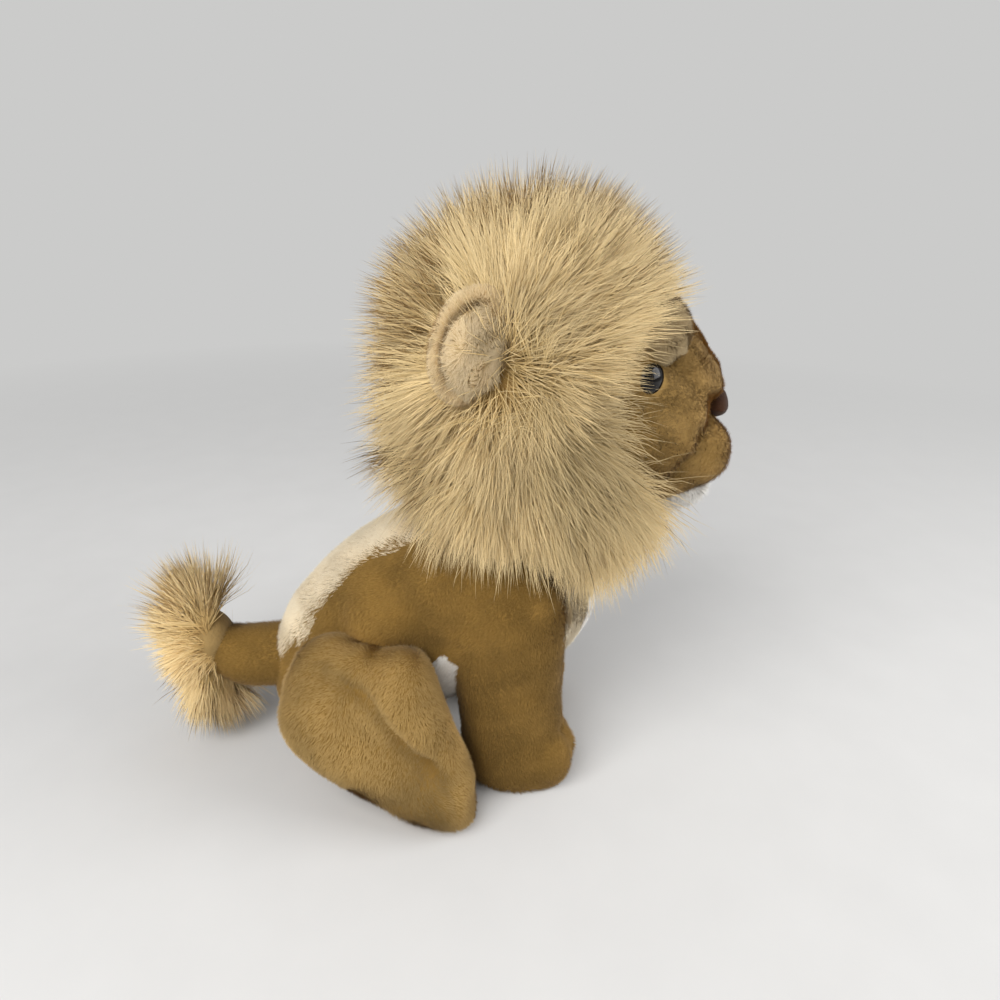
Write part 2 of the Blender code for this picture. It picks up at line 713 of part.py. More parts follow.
def build_face(head_cutter):
    """Muzzle pads, chin, nose and brow patches, cut back by the head, and their rooms."""
    pieces = []
    pads = []
    rooms = []
    for side in (1, -1):
        name = side_name(side)
        halves = (MUZZLE_WIDTH / 2, MUZZLE_DEPTH / 2, MUZZLE_HEIGHT / 2)
        place = on_head("muzzle", side)
        pad = ellipsoid("muzzle_" + name, place, halves)
        reach = 2 * max(halves)
        low = at(-side * reach, -place.y - reach, place.z - reach)
        high = at(side * CLEARANCE / 2, -place.y + reach, place.z + reach)
        use_boolean(pad, as_cutter(box("muzzle_middle_" + name, low, high)))
        use_boolean(pad, head_cutter)
        pads.append(pad)
        halves = (BROW_WIDTH / 2, BROW_DEPTH / 2, BROW_HEIGHT / 2)
        brow_place = on_head("brow", side)
        brow = ellipsoid("brow_" + name, brow_place, halves, colour=PALE_VELOUR)
        use_boolean(brow, head_cutter)
        pieces.append(brow)
        rooms.append(grown_ellipsoid("brow_room_" + name, brow_place, halves))
    grown = []
    for side in (1, -1):
        halves = (MUZZLE_WIDTH / 2, MUZZLE_DEPTH / 2, MUZZLE_HEIGHT / 2)
        grown.append(grown_ellipsoid("muzzle_room_" + side_name(side), on_head("muzzle", side), halves))
    chin_place = on_head("chin")
    halves = (CHIN_WIDTH / 2, CHIN_DEPTH / 2, CHIN_HEIGHT / 2)
    chin = ellipsoid("chin", chin_place, halves, colour=WHITE_PLUSH)
    rooms.append(grown_ellipsoid("chin_room", chin_place, halves))
    nose = build_nose()
    for piece in (chin, nose):
        use_boolean(piece, head_cutter)
        for room in grown:
            use_boolean(piece, room)
    return [*pads, *pieces, chin, nose], rooms


def build_nose():
    """A three-cornered nose: wide above, narrow below, with a rounded front."""
    rings = []
    steps = 8
    for step in range(steps + 1):
        turn = pi * step / steps
        level = -cos(turn)
        size = 0.0 if step in (0, steps) else sin(turn) ** NOSE_FULLNESS_SHARE
        width = NOSE_WIDTH / 2 * (NOSE_TIP_SHARE + (1 - NOSE_TIP_SHARE) * (level + 1) / 2)
        middle = on_head("nose") + at(0, 0, level * NOSE_HEIGHT / 2)
        rings.append((middle, Vector((width * size, 0, 0)), Vector((0, NOSE_DEPTH / 2 * size, 0))))
    return loft("nose", rings, SMALL_SIDES, colour=NOSE_BROWN, roughness=0.6)


def ear_frame(side):
    """Axes of an ear: its thickness, its length ahead and its height, leaning and flared."""
    lean = Matrix.Rotation(EAR_LEAN, 3, "X")
    flare = Matrix.Rotation(-side * EAR_FLARE, 3, "Z")
    return flare @ lean


def ear_root_place(side):
    """The middle of the ear's sewn front edge, which it flops about."""
    edge = at(-side * EAR_THICKNESS / 4, EAR_LENGTH / 2 * EAR_ROOT_SHARE, 0)
    return on_head("ear", side) + ear_frame(side) @ edge


def build_ear(side, head):
    name = side_name(side)
    place = on_head("ear", side)
    turned = ear_frame(side)
    halves = (EAR_THICKNESS / 2, EAR_LENGTH / 2, EAR_HEIGHT / 2)
    back = ellipsoid("ear_back_" + name, place, halves, 9, 18, turned)
    hollow_place = place + turned @ Vector((side * EAR_THICKNESS / 2, 0, 0))
    inner = (EAR_HOLLOW_DEPTH, EAR_LENGTH / 2 * EAR_RIM_SHARE, EAR_HEIGHT / 2 * EAR_RIM_SHARE)
    lining = ellipsoid("ear_lining_" + name, hollow_place, inner, 8, SMALL_SIDES, turned, colour=CREAM_PLUSH)
    grown = tuple(value + CLEARANCE for value in inner)
    hollow = as_cutter(ellipsoid("ear_hollow_" + name, hollow_place, grown, 8, SMALL_SIDES, turned))
    use_boolean(back, hollow)
    scoop_place = hollow_place + turned @ Vector((side * LINING_THICKNESS, 0, 0))
    use_boolean(lining, as_cutter(ellipsoid("ear_scoop_" + name, scoop_place, grown, 8, SMALL_SIDES, turned)))
    root = ear_root_place(side)
    axis = turned @ Vector((0, 0, 1))
    half = EAR_ROOT_LENGTH / 2
    start = root - axis * half
    post = turned_piece(
        "ear_root_" + name,
        start,
        axis,
        ((0, EAR_ROOT_RADIUS), (EAR_ROOT_LENGTH, EAR_ROOT_RADIUS)),
        14,
    )
    use_boolean(back, as_cutter(post), "UNION")
    room = EAR_ROOT_RADIUS + CLEARANCE
    groove = turned_piece(
        "ear_groove_" + name,
        start - axis * CLEARANCE,
        axis,
        ((0, room), (EAR_ROOT_LENGTH + 2 * CLEARANCE, room)),
        14,
    )
    use_boolean(head, as_cutter(groove))
    return back, lining, groove


def ear_pocket(side):
    """The parting in the mane round an ear, open outwards."""
    turned = ear_frame(side)
    ear_place = on_head("ear", side)
    deep = MANE_HALF_WIDTH - abs(ear_place.x) + EAR_THICKNESS
    place = ear_place + turned @ Vector((side * deep / 2, 0, 0))
    halves = (
        deep + EAR_POCKET_ROOM,
        EAR_LENGTH / 2 + 2 * EAR_POCKET_ROOM,
        EAR_HEIGHT / 2 + 2 * EAR_POCKET_ROOM,
    )
    return as_cutter(ellipsoid("ear_pocket_" + side_name(side), place, halves, 12, SMALL_SIDES, turned))


def mane_radius(turn_share):
    """The mane's radius in the middle plane at a share of a turn, read off its outline."""
    rows = blend_rows(mane_profile_shares, 6)
    for (low, first), (high, second) in zip(rows, rows[1:]):
        if low <= turn_share <= high:
            part = (turn_share - low) / (high - low)
            return MANE_RADIUS * (first + part * (second - first))
    ends = (rows[-1][1], rows[0][1])
    beyond = (turn_share - rows[-1][0]) % 1
    part = beyond / ((rows[0][0] - rows[-1][0]) % 1)
    return MANE_RADIUS * (ends[0] + part * (ends[1] - ends[0]))


def mane_point(turn_share, out_share, depth_share):
    """A point of the mane: round the head, out towards the ear, and from core to tips."""
    turn = 2 * pi * turn_share
    lean = out_share * pi / 2
    level = cos(lean) ** MANE_FULLNESS_SHARE if abs(out_share) < 1 else 0.0
    reach = mane_radius(turn_share % 1) * level
    out = MANE_HALF_WIDTH * abs(sin(lean)) ** MANE_FULLNESS_SHARE * (1 if lean >= 0 else -1)
    return on_head("mane") + at(out, reach * cos(turn), reach * sin(turn)) * depth_share


def mane_block(name, turn_start, turn_end, out_start, out_end, turn_steps, out_steps):
    """A sector of the mane between two turns and two leans, from its core to its tips."""
    mesh_builder = bmesh.new()
    layers = []
    for depth in (MANE_CORE_SHARE, 1.0):
        rows = []
        for i in range(turn_steps + 1):
            turn = turn_start + (turn_end - turn_start) * i / turn_steps
            row = []
            for j in range(out_steps + 1):
                out = out_start + (out_end - out_start) * j / out_steps
                row.append(mesh_builder.verts.new(mane_point(turn, out, depth)))
            rows.append(row)
        layers.append(rows)
    inner, outer = layers
    for i in range(turn_steps):
        for j in range(out_steps):
            for rows in layers:
                corners = [rows[i][j], rows[i + 1][j], rows[i + 1][j + 1], rows[i][j + 1]]
                mesh_builder.faces.new(corners)
    for i in range(turn_steps):
        for j in (0, out_steps):
            mesh_builder.faces.new([inner[i][j], inner[i + 1][j], outer[i + 1][j], outer[i][j]])
    for j in range(out_steps):
        for i in (0, turn_steps):
            mesh_builder.faces.new([inner[i][j], inner[i][j + 1], outer[i][j + 1], outer[i][j]])
    return make_object(name, mesh_builder, MANE_FUR)


def mane_cap(name, side, seam_out, turn_steps, out_steps):
    """The mane's side: a cap from the seam out to the pole beside the ear."""
    mesh_builder = bmesh.new()
    layers = []
    for depth in (MANE_CORE_SHARE, 1.0):
        rows = []
        for j in range(out_steps):
            row = []
            for i in range(turn_steps):
                turn = i / turn_steps
                start = SHOULDER_SEAM_SHARE if MANE_BACK_END_SHARE < turn < MANE_RUFF_START_SHARE else seam_out
                out = side * (start + (1 - start) * j / out_steps)
                row.append(mesh_builder.verts.new(mane_point(turn, out, depth)))
            rows.append(row)
        pole = mesh_builder.verts.new(mane_point(0.25, side, depth))
        layers.append((rows, pole))
    for rows, pole in layers:
        for j in range(out_steps - 1):
            for i in range(turn_steps):
                k = (i + 1) % turn_steps
                mesh_builder.faces.new([rows[j][i], rows[j][k], rows[j + 1][k], rows[j + 1][i]])
        for i in range(turn_steps):
            mesh_builder.faces.new([rows[-1][i], rows[-1][(i + 1) % turn_steps], pole])
    inner, outer = layers[0][0][0], layers[1][0][0]
    for i in range(turn_steps):
        k = (i + 1) % turn_steps
        mesh_builder.faces.new([inner[i], inner[k], outer[k], outer[i]])
    return make_object(name, mesh_builder, MANE_FUR)


def build_mane(head_cutter, face_rooms):
    """Five pieces of long-pile fur round the head, clear of face, ears and shoulders."""
    seam_gap = CLEARANCE / HEAD_WIDTH
    seam = MANE_SEAM_SHARE
    half_seam = seam - seam_gap
    crown = (MANE_CROWN_START_SHARE, MANE_CROWN_END_SHARE)
    back = (MANE_CROWN_END_SHARE + seam_gap, MANE_BACK_END_SHARE)
    ruff = (MANE_RUFF_START_SHARE + seam_gap, MANE_RUFF_END_SHARE)
    blocks = [
        mane_block("mane_crown", *crown, -half_seam, half_seam, 9, 9),
        mane_block("mane_back", *back, -half_seam, half_seam, 9, 9),
        mane_block("mane_ruff", *ruff, -half_seam, half_seam, 7, 9),
    ]
    caps = [mane_cap("mane_side_" + side_name(side), side, seam + seam_gap, 32, 5) for side in (1, -1)]
    ball_size = (SHOULDER_BALL_RADIUS,) * 3
    ball = as_cutter(ellipsoid("shoulder_ball", at(0, NECK_AHEAD, NECK_UP), ball_size, 18, 32))
    face_halves = (FACE_WIDTH / 2, FACE_DEPTH / 2, FACE_HEIGHT / 2)
    face = as_cutter(ellipsoid("face_opening", on_head("face_opening"), face_halves, 14, 28))
    hem_rear = NECK_AHEAD - HEM_REAR_BEHIND_NECK
    hem_front = NECK_AHEAD - HEM_FRONT_BEHIND_NECK
    hem_up = NECK_UP + HEM_REAR_ABOVE_NECK
    hem_outline = (
        (hem_rear - OVERRUN, 0),
        (hem_rear - OVERRUN, hem_up),
        (hem_rear, hem_up),
        (hem_front, NECK_UP - HEM_FRONT_BELOW_NECK),
        (hem_front, 0),
    )
    hem = prism("mane_hem", hem_outline, -MANE_HALF_WIDTH - OVERRUN, MANE_HALF_WIDTH + OVERRUN)
    pockets = [ear_pocket(side) for side in (1, -1)]
    for piece in (*blocks, *caps):
        use_boolean(piece, ball)
        use_boolean(piece, face)
    for piece in (blocks[1], blocks[2], *caps):
        use_boolean(piece, hem)
    for room in face_rooms:
        use_boolean(blocks[2] if room.name.startswith("chin") else blocks[0], room)
    for cap, pocket in zip(caps, pockets):
        use_boolean(cap, pocket)
    for block in blocks[:2]:
        for pocket in pockets:
            use_boolean(block, pocket)
    for piece in (*blocks, *caps):
        use_boolean(piece, head_cutter)
    return [*blocks, *caps]


def build_front_leg(side):
    """A column that swells at shoulder and paw, domed above, cut flat below."""
    rings = []
    for up, shift, depth, width in leg_ring_shares:
        ahead = SHOULDER_AHEAD + shift * PAW_STEP
        middle = at(side * LEG_OUT, ahead, up * SHOULDER_UP)
        across = Vector((LEG_WIDTH / 2 * width, 0, 0))
        rings.append((middle, across, Vector((0, LEG_DEPTH / 2 * depth, 0))))
    dome_steps = 6
    for step in range(1, dome_steps + 1):
        turn = pi / 2 * step / dome_steps
        size = 0.0 if step == dome_steps else cos(turn)
        middle = at(side * LEG_OUT, SHOULDER_AHEAD, SHOULDER_UP + LEG_DEPTH / 2 * sin(turn))
        across = Vector((LEG_WIDTH / 2 * size, 0, 0))
        rings.append((middle, across, Vector((0, LEG_DEPTH / 2 * size, 0))))
    return loft("front_leg_" + side_name(side), rings, 24)


def foot_rings(side, grow=0.0):
    """A hind foot's rings from its raised heel to the toe, grown by a length."""
    heel = at(side * (THIGH_OUT + FOOT_HEEL_BEYOND_HIP), HIP_AHEAD - FOOT_HEEL_BEHIND_HIP, 0)
    run = at(side * FOOT_SPLAY, FOOT_LENGTH, 0)
    across = Vector((0, 0, 1)).cross(run).normalized()
    rings = []
    for along, rise, height, width in foot_ring_shares:
        half_height = FOOT_HEIGHT / 2 * height
        half_width = FOOT_WIDTH / 2 * width
        if half_width > CLEARANCE:
            half_height += grow
            half_width += grow
        up = FOOT_HEIGHT * (1 - FOOT_SINK_SHARE) / 2 - (FOOT_HEIGHT / 2 - half_height) * FOOT_SOLE_SHARE
        middle = heel + run * along + at(0, 0, up + rise * FOOT_RISE)
        rings.append((middle, across * half_width, Vector((0, 0, half_height))))
    return rings


def build_hind_leg(side, floor):
    """A round thigh, flat where it meets the torso, over a foot cut flat below."""
    name = side_name(side)
    dip = Matrix.Rotation(THIGH_DIP, 3, "X")
    halves = (THIGH_WIDTH / 2, THIGH_LENGTH / 2, THIGH_HEIGHT / 2)
    place = at(side * THIGH_OUT, HIP_AHEAD, HIP_UP)
    thigh = ellipsoid("haunch_" + name, place, halves, 14, 24, dip)
    reach = THIGH_LENGTH
    low = at(-side * reach, HIP_AHEAD - reach, HIP_UP - reach)
    high = at(side * HIP_FACE_OUT, HIP_AHEAD + reach, HIP_UP + reach)
    use_boolean(thigh, as_cutter(box("hip_face_" + name, low, high)))
    foot = loft("hind_foot_" + name, foot_rings(side), 20)
    use_boolean(foot, floor)
    room = as_cutter(loft("foot_room_" + name, foot_rings(side, CLEARANCE), 20))
    use_boolean(thigh, room)
    use_boolean(thigh, floor)
    return thigh, foot


def tail_rings(grow=0.0):
    """A ball at the root, then a tube back that lifts to its tip, grown by a length."""
    rings = []
    root = at(0, TAIL_AHEAD, TAIL_UP)
    radius = TAIL_RADIUS + grow
    ball_steps = 5
    for step in range(ball_steps):
        turn = pi / 2 * step / ball_steps
        size = radius * sin(turn) if step else 0.0
        middle = root + at(0, radius * cos(turn), 0)
        rings.append((middle, Vector((size, 0, 0)), Vector((0, 0, size))))
    steps = 8
    for step in range(steps + 1):
        t = step / steps
        middle = root + at(0, -TAIL_RUN * t, TAIL_RISE * (t**3 - TAIL_DIP_SHARE * t))
        size = radius * (1 - TAIL_SLIM_SHARE * t * t)
        rings.append((middle, Vector((size, 0, 0)), Vector((0, 0, size))))
    tip_steps = 4
    end = rings[-1][0]
    size = rings[-1][1].x
    for step in range(1, tip_steps + 1):
        turn = pi / 2 * step / tip_steps
        small = 0.0 if step == tip_steps else size * cos(turn)
        middle = end - at(0, size * sin(turn), 0)
        rings.append((middle, Vector((small, 0, 0)), Vector((0, 0, small))))
    return rings


def build_tail():
    tail = loft("tail", tail_rings(), 20)
    rings = []
    for up, back, length, width in tuft_ring_shares:
        ahead = TAIL_AHEAD - TUFT_ALONG_SHARE * TAIL_RUN - back * TUFT_LENGTH
        middle = at(0, ahead, TAIL_UP + (up - TUFT_DROP_SHARE) * TUFT_HEIGHT)
        across = Vector((TUFT_WIDTH / 2 * width, 0, 0))
        rings.append((middle, across, Vector((0, TUFT_LENGTH / 2 * length, 0))))
    tuft = loft("tail_tuft", rings, 20, colour=MANE_FUR)
    use_boolean(tuft, as_cutter(loft("tail_room", tail_rings(CLEARANCE), 20)))
    return tail, tuft


def build_lion():
    floor_low = at(-OVERRUN - TORSO_WIDTH, -OVERRUN - TORSO_LENGTH, -OVERRUN)
    floor_high = at(OVERRUN + TORSO_WIDTH, OVERRUN + TORSO_LENGTH, 0)
    floor = as_cutter(box("floor", floor_low, floor_high))
    build_torso()
    build_seat_panel()
    build_pellet_pouch()
    build_belly_panel()

    neck_pivot = pivot("neck_pivot", at(0, NECK_AHEAD, NECK_UP))
    carry(neck_pivot, build_neck())
    head_pivot = pivot("head_pivot", at(0, NECK_AHEAD, NECK_UP), neck_pivot)
    head = build_head()
    head_cutter = as_cutter(loft("head_room", head_rings(2 * CLEARANCE)))
    face, face_rooms = build_face(head_cutter)
    carry(head_pivot, head, *face)
    eye_rooms = []
    for side in (1, -1):
        eye, washer = build_eye(side, head)
        carry(head_pivot, eye, washer)
        eye_rooms.append(bpy.data.objects["eye_seat_" + side_name(side)])
        use_boolean(bpy.data.objects["brow_" + side_name(side)], eye_rooms[-1])
    mane = build_mane(head_cutter, face_rooms)
    carry(head_pivot, *mane)
    for side in (1, -1):
        back, lining, groove = build_ear(side, head)
        for piece in mane:
            use_boolean(piece, groove)
        carry(pivot("ear_pivot_" + side_name(side), ear_root_place(side), head_pivot), back, lining)

    for side in (1, -1):
        name = side_name(side)
        shoulder = pivot("shoulder_pivot_" + name, at(side * LEG_OUT, SHOULDER_AHEAD, SHOULDER_UP))
        carry(shoulder, build_front_leg(side))
        hip = pivot("hip_pivot_" + name, at(side * THIGH_OUT, HIP_AHEAD, HIP_UP))
        carry(hip, *build_hind_leg(side, floor))

    carry(pivot("tail_pivot", at(0, TAIL_AHEAD, TAIL_UP)), *build_tail())
    weld_cuts()


for leftover in list(bpy.data.objects):
    bpy.data.objects.remove(leftover)
build_lion()
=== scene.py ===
# %% [markdown]
# # A sitting plush lion, dressed around its imported CAD part
#
# The CAD part gives the separate stuffed pieces and their joints. This file gives them
# what a stuffed toy is known by: soft skins, short velvety pile, a long-haired mane and
# tail tuft, glossy eyes and a sewn lip thread. Each cell makes one piece or one finish.
# Lengths are metres, +Z is up, the lion faces -Y and its own left is +X.

import math

import bpy
import numpy as np
from mathutils import Matrix, Vector


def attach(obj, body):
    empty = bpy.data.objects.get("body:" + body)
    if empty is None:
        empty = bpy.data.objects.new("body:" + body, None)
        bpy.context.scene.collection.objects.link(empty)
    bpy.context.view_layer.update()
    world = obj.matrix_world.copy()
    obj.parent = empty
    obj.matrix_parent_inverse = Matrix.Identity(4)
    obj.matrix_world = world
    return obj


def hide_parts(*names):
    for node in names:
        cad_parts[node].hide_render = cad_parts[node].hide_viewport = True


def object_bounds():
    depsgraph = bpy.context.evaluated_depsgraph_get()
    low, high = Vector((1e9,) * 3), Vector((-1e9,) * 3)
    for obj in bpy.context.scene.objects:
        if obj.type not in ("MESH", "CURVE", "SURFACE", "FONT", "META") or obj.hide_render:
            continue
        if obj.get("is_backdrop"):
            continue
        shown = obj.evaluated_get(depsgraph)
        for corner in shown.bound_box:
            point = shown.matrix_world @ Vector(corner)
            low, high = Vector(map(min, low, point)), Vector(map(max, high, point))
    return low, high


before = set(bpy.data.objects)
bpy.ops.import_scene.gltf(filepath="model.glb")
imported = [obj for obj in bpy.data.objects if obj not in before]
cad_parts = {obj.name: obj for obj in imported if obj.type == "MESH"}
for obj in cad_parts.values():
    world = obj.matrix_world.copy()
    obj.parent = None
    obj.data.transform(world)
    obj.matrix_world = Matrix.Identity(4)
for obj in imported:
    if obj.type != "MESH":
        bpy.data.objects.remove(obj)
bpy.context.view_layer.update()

# %% [markdown]
# ## Camera
#
# The view is from the lion's right side, a little above its head, with a phone's wide
# lens. The lens is told as its focal length on a 36 mm sensor, and the small roll is the
# tilt of a camera held by hand.

# %% Camera
CAMERA_PLACE = Vector((-0.3089, -0.0665, 0.2622))
CAMERA_PITCH = math.radians(23.42)
CAMERA_ROLL = math.radians(0.73)
CAMERA_LENS = 27.0
SENSOR_WIDTH = 36.0
CLOSEST_SEEN = 0.01

look = Vector((math.cos(CAMERA_PITCH), 0, -math.sin(CAMERA_PITCH)))
level_right = Vector((0, -1, 0))
level_up = level_right.cross(look)
camera_right = math.cos(CAMERA_ROLL) * level_right + math.sin(CAMERA_ROLL) * level_up
camera_up = camera_right.cross(look)

camera_data = bpy.data.cameras.new("camera")
camera_data.lens = CAMERA_LENS
camera_data.sensor_width = SENSOR_WIDTH
camera_data.clip_start = CLOSEST_SEEN
camera = bpy.data.objects.new("camera", camera_data)
bpy.context.scene.collection.objects.link(camera)
camera_axes = Matrix((camera_right, camera_up, -look)).transposed()
camera.matrix_world = Matrix.Translation(CAMERA_PLACE) @ camera_axes.to_4x4()
bpy.context.scene.camera = camera

# %% [markdown]
# ## Arrays into meshes
#
# A surface worked out with numpy is a table of points. Two helpers put such tables into
# Blender: one takes triangles, the other joins a grid of points, row by row, with quads.
# They use foreach_set, which hands over a whole array at once.


# %% From arrays to objects
def place(out, ahead, up):
    """Points of the row frame from places told as out to the side, ahead and up."""
    out, ahead, up = np.broadcast_arrays(out, ahead, up)
    return np.stack([out, -ahead, up], axis=-1).astype(float)


def unit(vectors):
    """Each vector divided by its length."""
    return vectors / np.maximum(np.linalg.norm(vectors, axis=-1, keepdims=True), 1e-12)


def rising(value, run):
    """From 0 where a value is nothing to 1 where it fills the run, and held there."""
    return np.clip(value / run, 0, 1)


def bell(distance, width):
    """One at no distance, falling smoothly to almost nothing at twice the width."""
    return np.exp(-((distance / width) ** 2))


def object_from(name, points, faces, material=None, normals=None):
    """An object from points (n, 3) and faces (m, 3 or 4), shaded by its own normals if given."""
    mesh = bpy.data.meshes.new(name)
    mesh.vertices.add(len(points))
    mesh.vertices.foreach_set("co", np.ascontiguousarray(points, np.float32).ravel())
    mesh.loops.add(faces.size)
    mesh.loops.foreach_set("vertex_index", np.ascontiguousarray(faces, np.int32).ravel())
    mesh.polygons.add(len(faces))
    starts = np.arange(0, faces.size, faces.shape[1], dtype=np.int32)
    mesh.polygons.foreach_set("loop_start", starts)
    mesh.update(calc_edges=True)
    mesh.shade_smooth()
    if normals is not None:
        shading = mesh.attributes.new("custom_normal", "FLOAT_VECTOR", "POINT")
        shading.data.foreach_set("vector", np.ascontiguousarray(normals, np.float32).ravel())
    obj = bpy.data.objects.new(name, mesh)
    bpy.context.scene.collection.objects.link(obj)
    if material:
        mesh.materials.append(material)
    return obj


def grid_faces(rows, columns, round_rows=False):
    """Quads between neighbouring points of a grid, whose rows may close on themselves."""
    steps = columns if round_rows else columns - 1
    i, j = np.meshgrid(np.arange(rows - 1), np.arange(steps), indexing="ij")
    k = (j + 1) % columns
    corners = [i * columns + j, i * columns + k, (i + 1) * columns + k, (i + 1) * columns + j]
    return np.stack(corners, axis=-1).reshape(-1, 4)


def between_rows(rows, count):
    """A table's rows joined by smooth curves: Catmull-Rom, worked out for all steps at once."""
    rows = np.asarray(rows, float)
    at = np.linspace(0, len(rows) - 1, count)
    i = np.minimum(at.astype(int), len(rows) - 2)
    t = (at - i)[:, None]
    a, b = rows[np.maximum(i - 1, 0)], rows[i]
    c, d = rows[i + 1], rows[np.minimum(i + 2, len(rows) - 1)]
    squared, cubed = a - 2.5 * b + 2 * c - d / 2, 1.5 * (b - c) + (d - a) / 2
    return b + t * (c - a) / 2 + t**2 * squared + t**3 * cubed


def tube_points(middles, firsts, seconds, sides):
    """Rings: middle + first half axis * cos + second half axis * sin, for each row."""
    turns = 2 * np.pi * np.arange(sides) / sides
    cosines, sines = np.cos(turns)[None, :, None], np.sin(turns)[None, :, None]
    return middles[:, None] + (firsts[:, None] * cosines + seconds[:, None] * sines)


def closed_tube(name, middles, firsts, seconds, sides=40):
    """A tube of rings, closed at each end by one point in the middle of its last ring."""
    rings = tube_points(middles, firsts, seconds, sides)
    points = np.concatenate([rings.reshape(-1, 3), rings[0].mean(0)[None], rings[-1].mean(0)[None]])
    faces = grid_faces(len(rings), sides, round_rows=True)
    ring, next_ring = np.arange(sides), (np.arange(sides) + 1) % sides
    start = np.stack([np.full(sides, len(points) - 2), next_ring, ring], axis=-1)
    last = (len(rings) - 1) * sides
    end = np.stack([np.full(sides, len(points) - 1), last + ring, last + next_ring], axis=-1)
    caps = np.concatenate([start, end])
    quads = np.concatenate([faces, np.concatenate([caps, caps[:, 2:]], axis=1)])
    triangles = np.concatenate([quads[:, [0, 1, 2]], quads[: len(faces), [0, 2, 3]]])
    corners = points[triangles]
    if np.einsum("ij,ij->i", corners[:, 0], np.cross(corners[:, 1], corners[:, 2])).sum() < 0:
        triangles = triangles[:, ::-1]
    return object_from(name, points, triangles)


def ellipsoid(name, middle, halves, turned=None, rows=24, sides=40):
    """Rings whose size is a sine and whose height a cosine, each along its half axis."""
    lean = np.pi * np.arange(rows + 1) / rows
    axes = np.diag(halves) @ (np.eye(3) if turned is None else np.array(turned).T)
    middles = np.asarray(middle, float) - np.cos(lean)[:, None] * axes[2]
    size = np.maximum(np.sin(lean), 1e-3)[:, None]
    return closed_tube(name, middles, size * axes[0], size * axes[1], sides)


# %% [markdown]
# ## Stuffed skins
#
# A stuffed limb is sewn from curved panels, so its forms run into each other without
# edges. Here overlapping closed forms are fused by a voxel Remesh and relaxed by a Smooth
# modifier, whose rounds set how deep a crease stays. The result is read back as arrays,
# so that later cells can press folds into it and plant pile on it.


# %% Fused forms
PATH_STEPS = 60  # a fold's path is read at this many places
BATCH = 20000  # points compared with a path at once, which limits the memory used


def evaluated(obj):
    """Points and triangles of an object with its modifiers applied."""
    graph = bpy.context.evaluated_depsgraph_get()
    mesh = obj.evaluated_get(graph).to_mesh()
    mesh.calc_loop_triangles()
    points = np.empty(len(mesh.vertices) * 3, np.float32)
    mesh.vertices.foreach_get("co", points)
    triangles = np.empty(len(mesh.loop_triangles) * 3, np.int32)
    mesh.loop_triangles.foreach_get("vertices", triangles)
    obj.evaluated_get(graph).to_mesh_clear()
    return points.reshape(-1, 3).astype(float), triangles.reshape(-1, 3)


def fused(parts, voxel, rounds):
    """Points and triangles of closed forms made one and relaxed, and the forms removed."""
    found = [evaluated(part) for part in parts]
    starts = np.cumsum([0] + [len(points) for points, _ in found[:-1]])
    points = np.concatenate([points for points, _ in found])
    triangles = np.concatenate([triangles + start for (_, triangles), start in zip(found, starts)])
    for part in parts:
        bpy.data.objects.remove(part)
    joined = object_from("joined", points, triangles)
    remesh = joined.modifiers.new("remesh", "REMESH")
    remesh.mode = "VOXEL"
    remesh.voxel_size = voxel
    relax = joined.modifiers.new("relax", "SMOOTH")
    relax.factor = 0.5
    relax.iterations = rounds
    bpy.context.view_layer.update()
    result = evaluated(joined)
    bpy.data.objects.remove(joined)
    return result


def triangle_normals(points, triangles):
    """Each triangle's normal, as long as twice its area."""
    corners = points[triangles]
    return np.cross(corners[:, 1] - corners[:, 0], corners[:, 2] - corners[:, 0])


def point_normals(points, triangles):
    """At each point, the sum of its triangles' normals weighted by area, as unit vectors."""
    across = triangle_normals(points, triangles)
    normals = np.zeros_like(points)
    for corner in range(3):
        np.add.at(normals, triangles[:, corner], across)
    return unit(normals)


def near_path(points, path, width, axes=(1, 1, 1)):
    """One on a smooth path, falling to nothing away from it as a bell of that width."""
    path = between_rows(path, PATH_STEPS)
    share = np.empty(len(points))
    for start in range(0, len(points), BATCH):
        some = points[start : start + BATCH]
        apart = np.linalg.norm((some[:, None] - path[None]) * axes, axis=-1).min(axis=1)
        share[start : start + BATCH] = bell(apart, width)
    return share


def press(points, normals, path, width, depth, axes=(1, 1, 1), share=np.ones(1)):
    """A fold: points sink along their normals by depth * exp(-(distance / width)^2)."""
    return points - normals * (share * depth * near_path(points, path, width, axes))[:, None]


# %% [markdown]
# ## Planting pile
#
# Velvety plush is a forest of short fibres that all lean the same way. Each fibre is one
# narrow triangle, standing on a random place of the skin and leaning along the nap. Light
# falls on such a forest as on the skin below it, so each fibre is shaded with the skin's
# normal. Its UV map keeps two facts for the material: u is the fibre's own shade, and v
# runs from root to tip.


# %% Scattering roots and raising fibres
ROOT_DEPTH = 0.0003  # a short fibre starts this far under the skin
UV_HALF = 0.012  # half the width of a fibre in its UV map
SKYWARD = np.array([0, 0, 1.0])


def scattered(points, triangles, normals, count, seed):
    """Random places spread evenly over a surface, with the normals there."""
    draw = np.random.default_rng(seed)
    area = np.linalg.norm(triangle_normals(points, triangles), axis=1)
    chosen = draw.choice(len(triangles), size=count, p=area / area.sum())
    a, b = draw.random((2, count))
    flip = a + b > 1
    a[flip], b[flip] = 1 - a[flip], 1 - b[flip]
    weights = np.stack([1 - a - b, a, b], axis=-1)[:, :, None]
    roots = (points[triangles[chosen]] * weights).sum(1)
    return roots, unit((normals[triangles[chosen]] * weights).sum(1)), draw


def along_skin(directions, normals):
    """The part of each direction that lies along the skin, as a unit vector."""
    return unit(directions - normals * (directions * normals).sum(-1, keepdims=True))


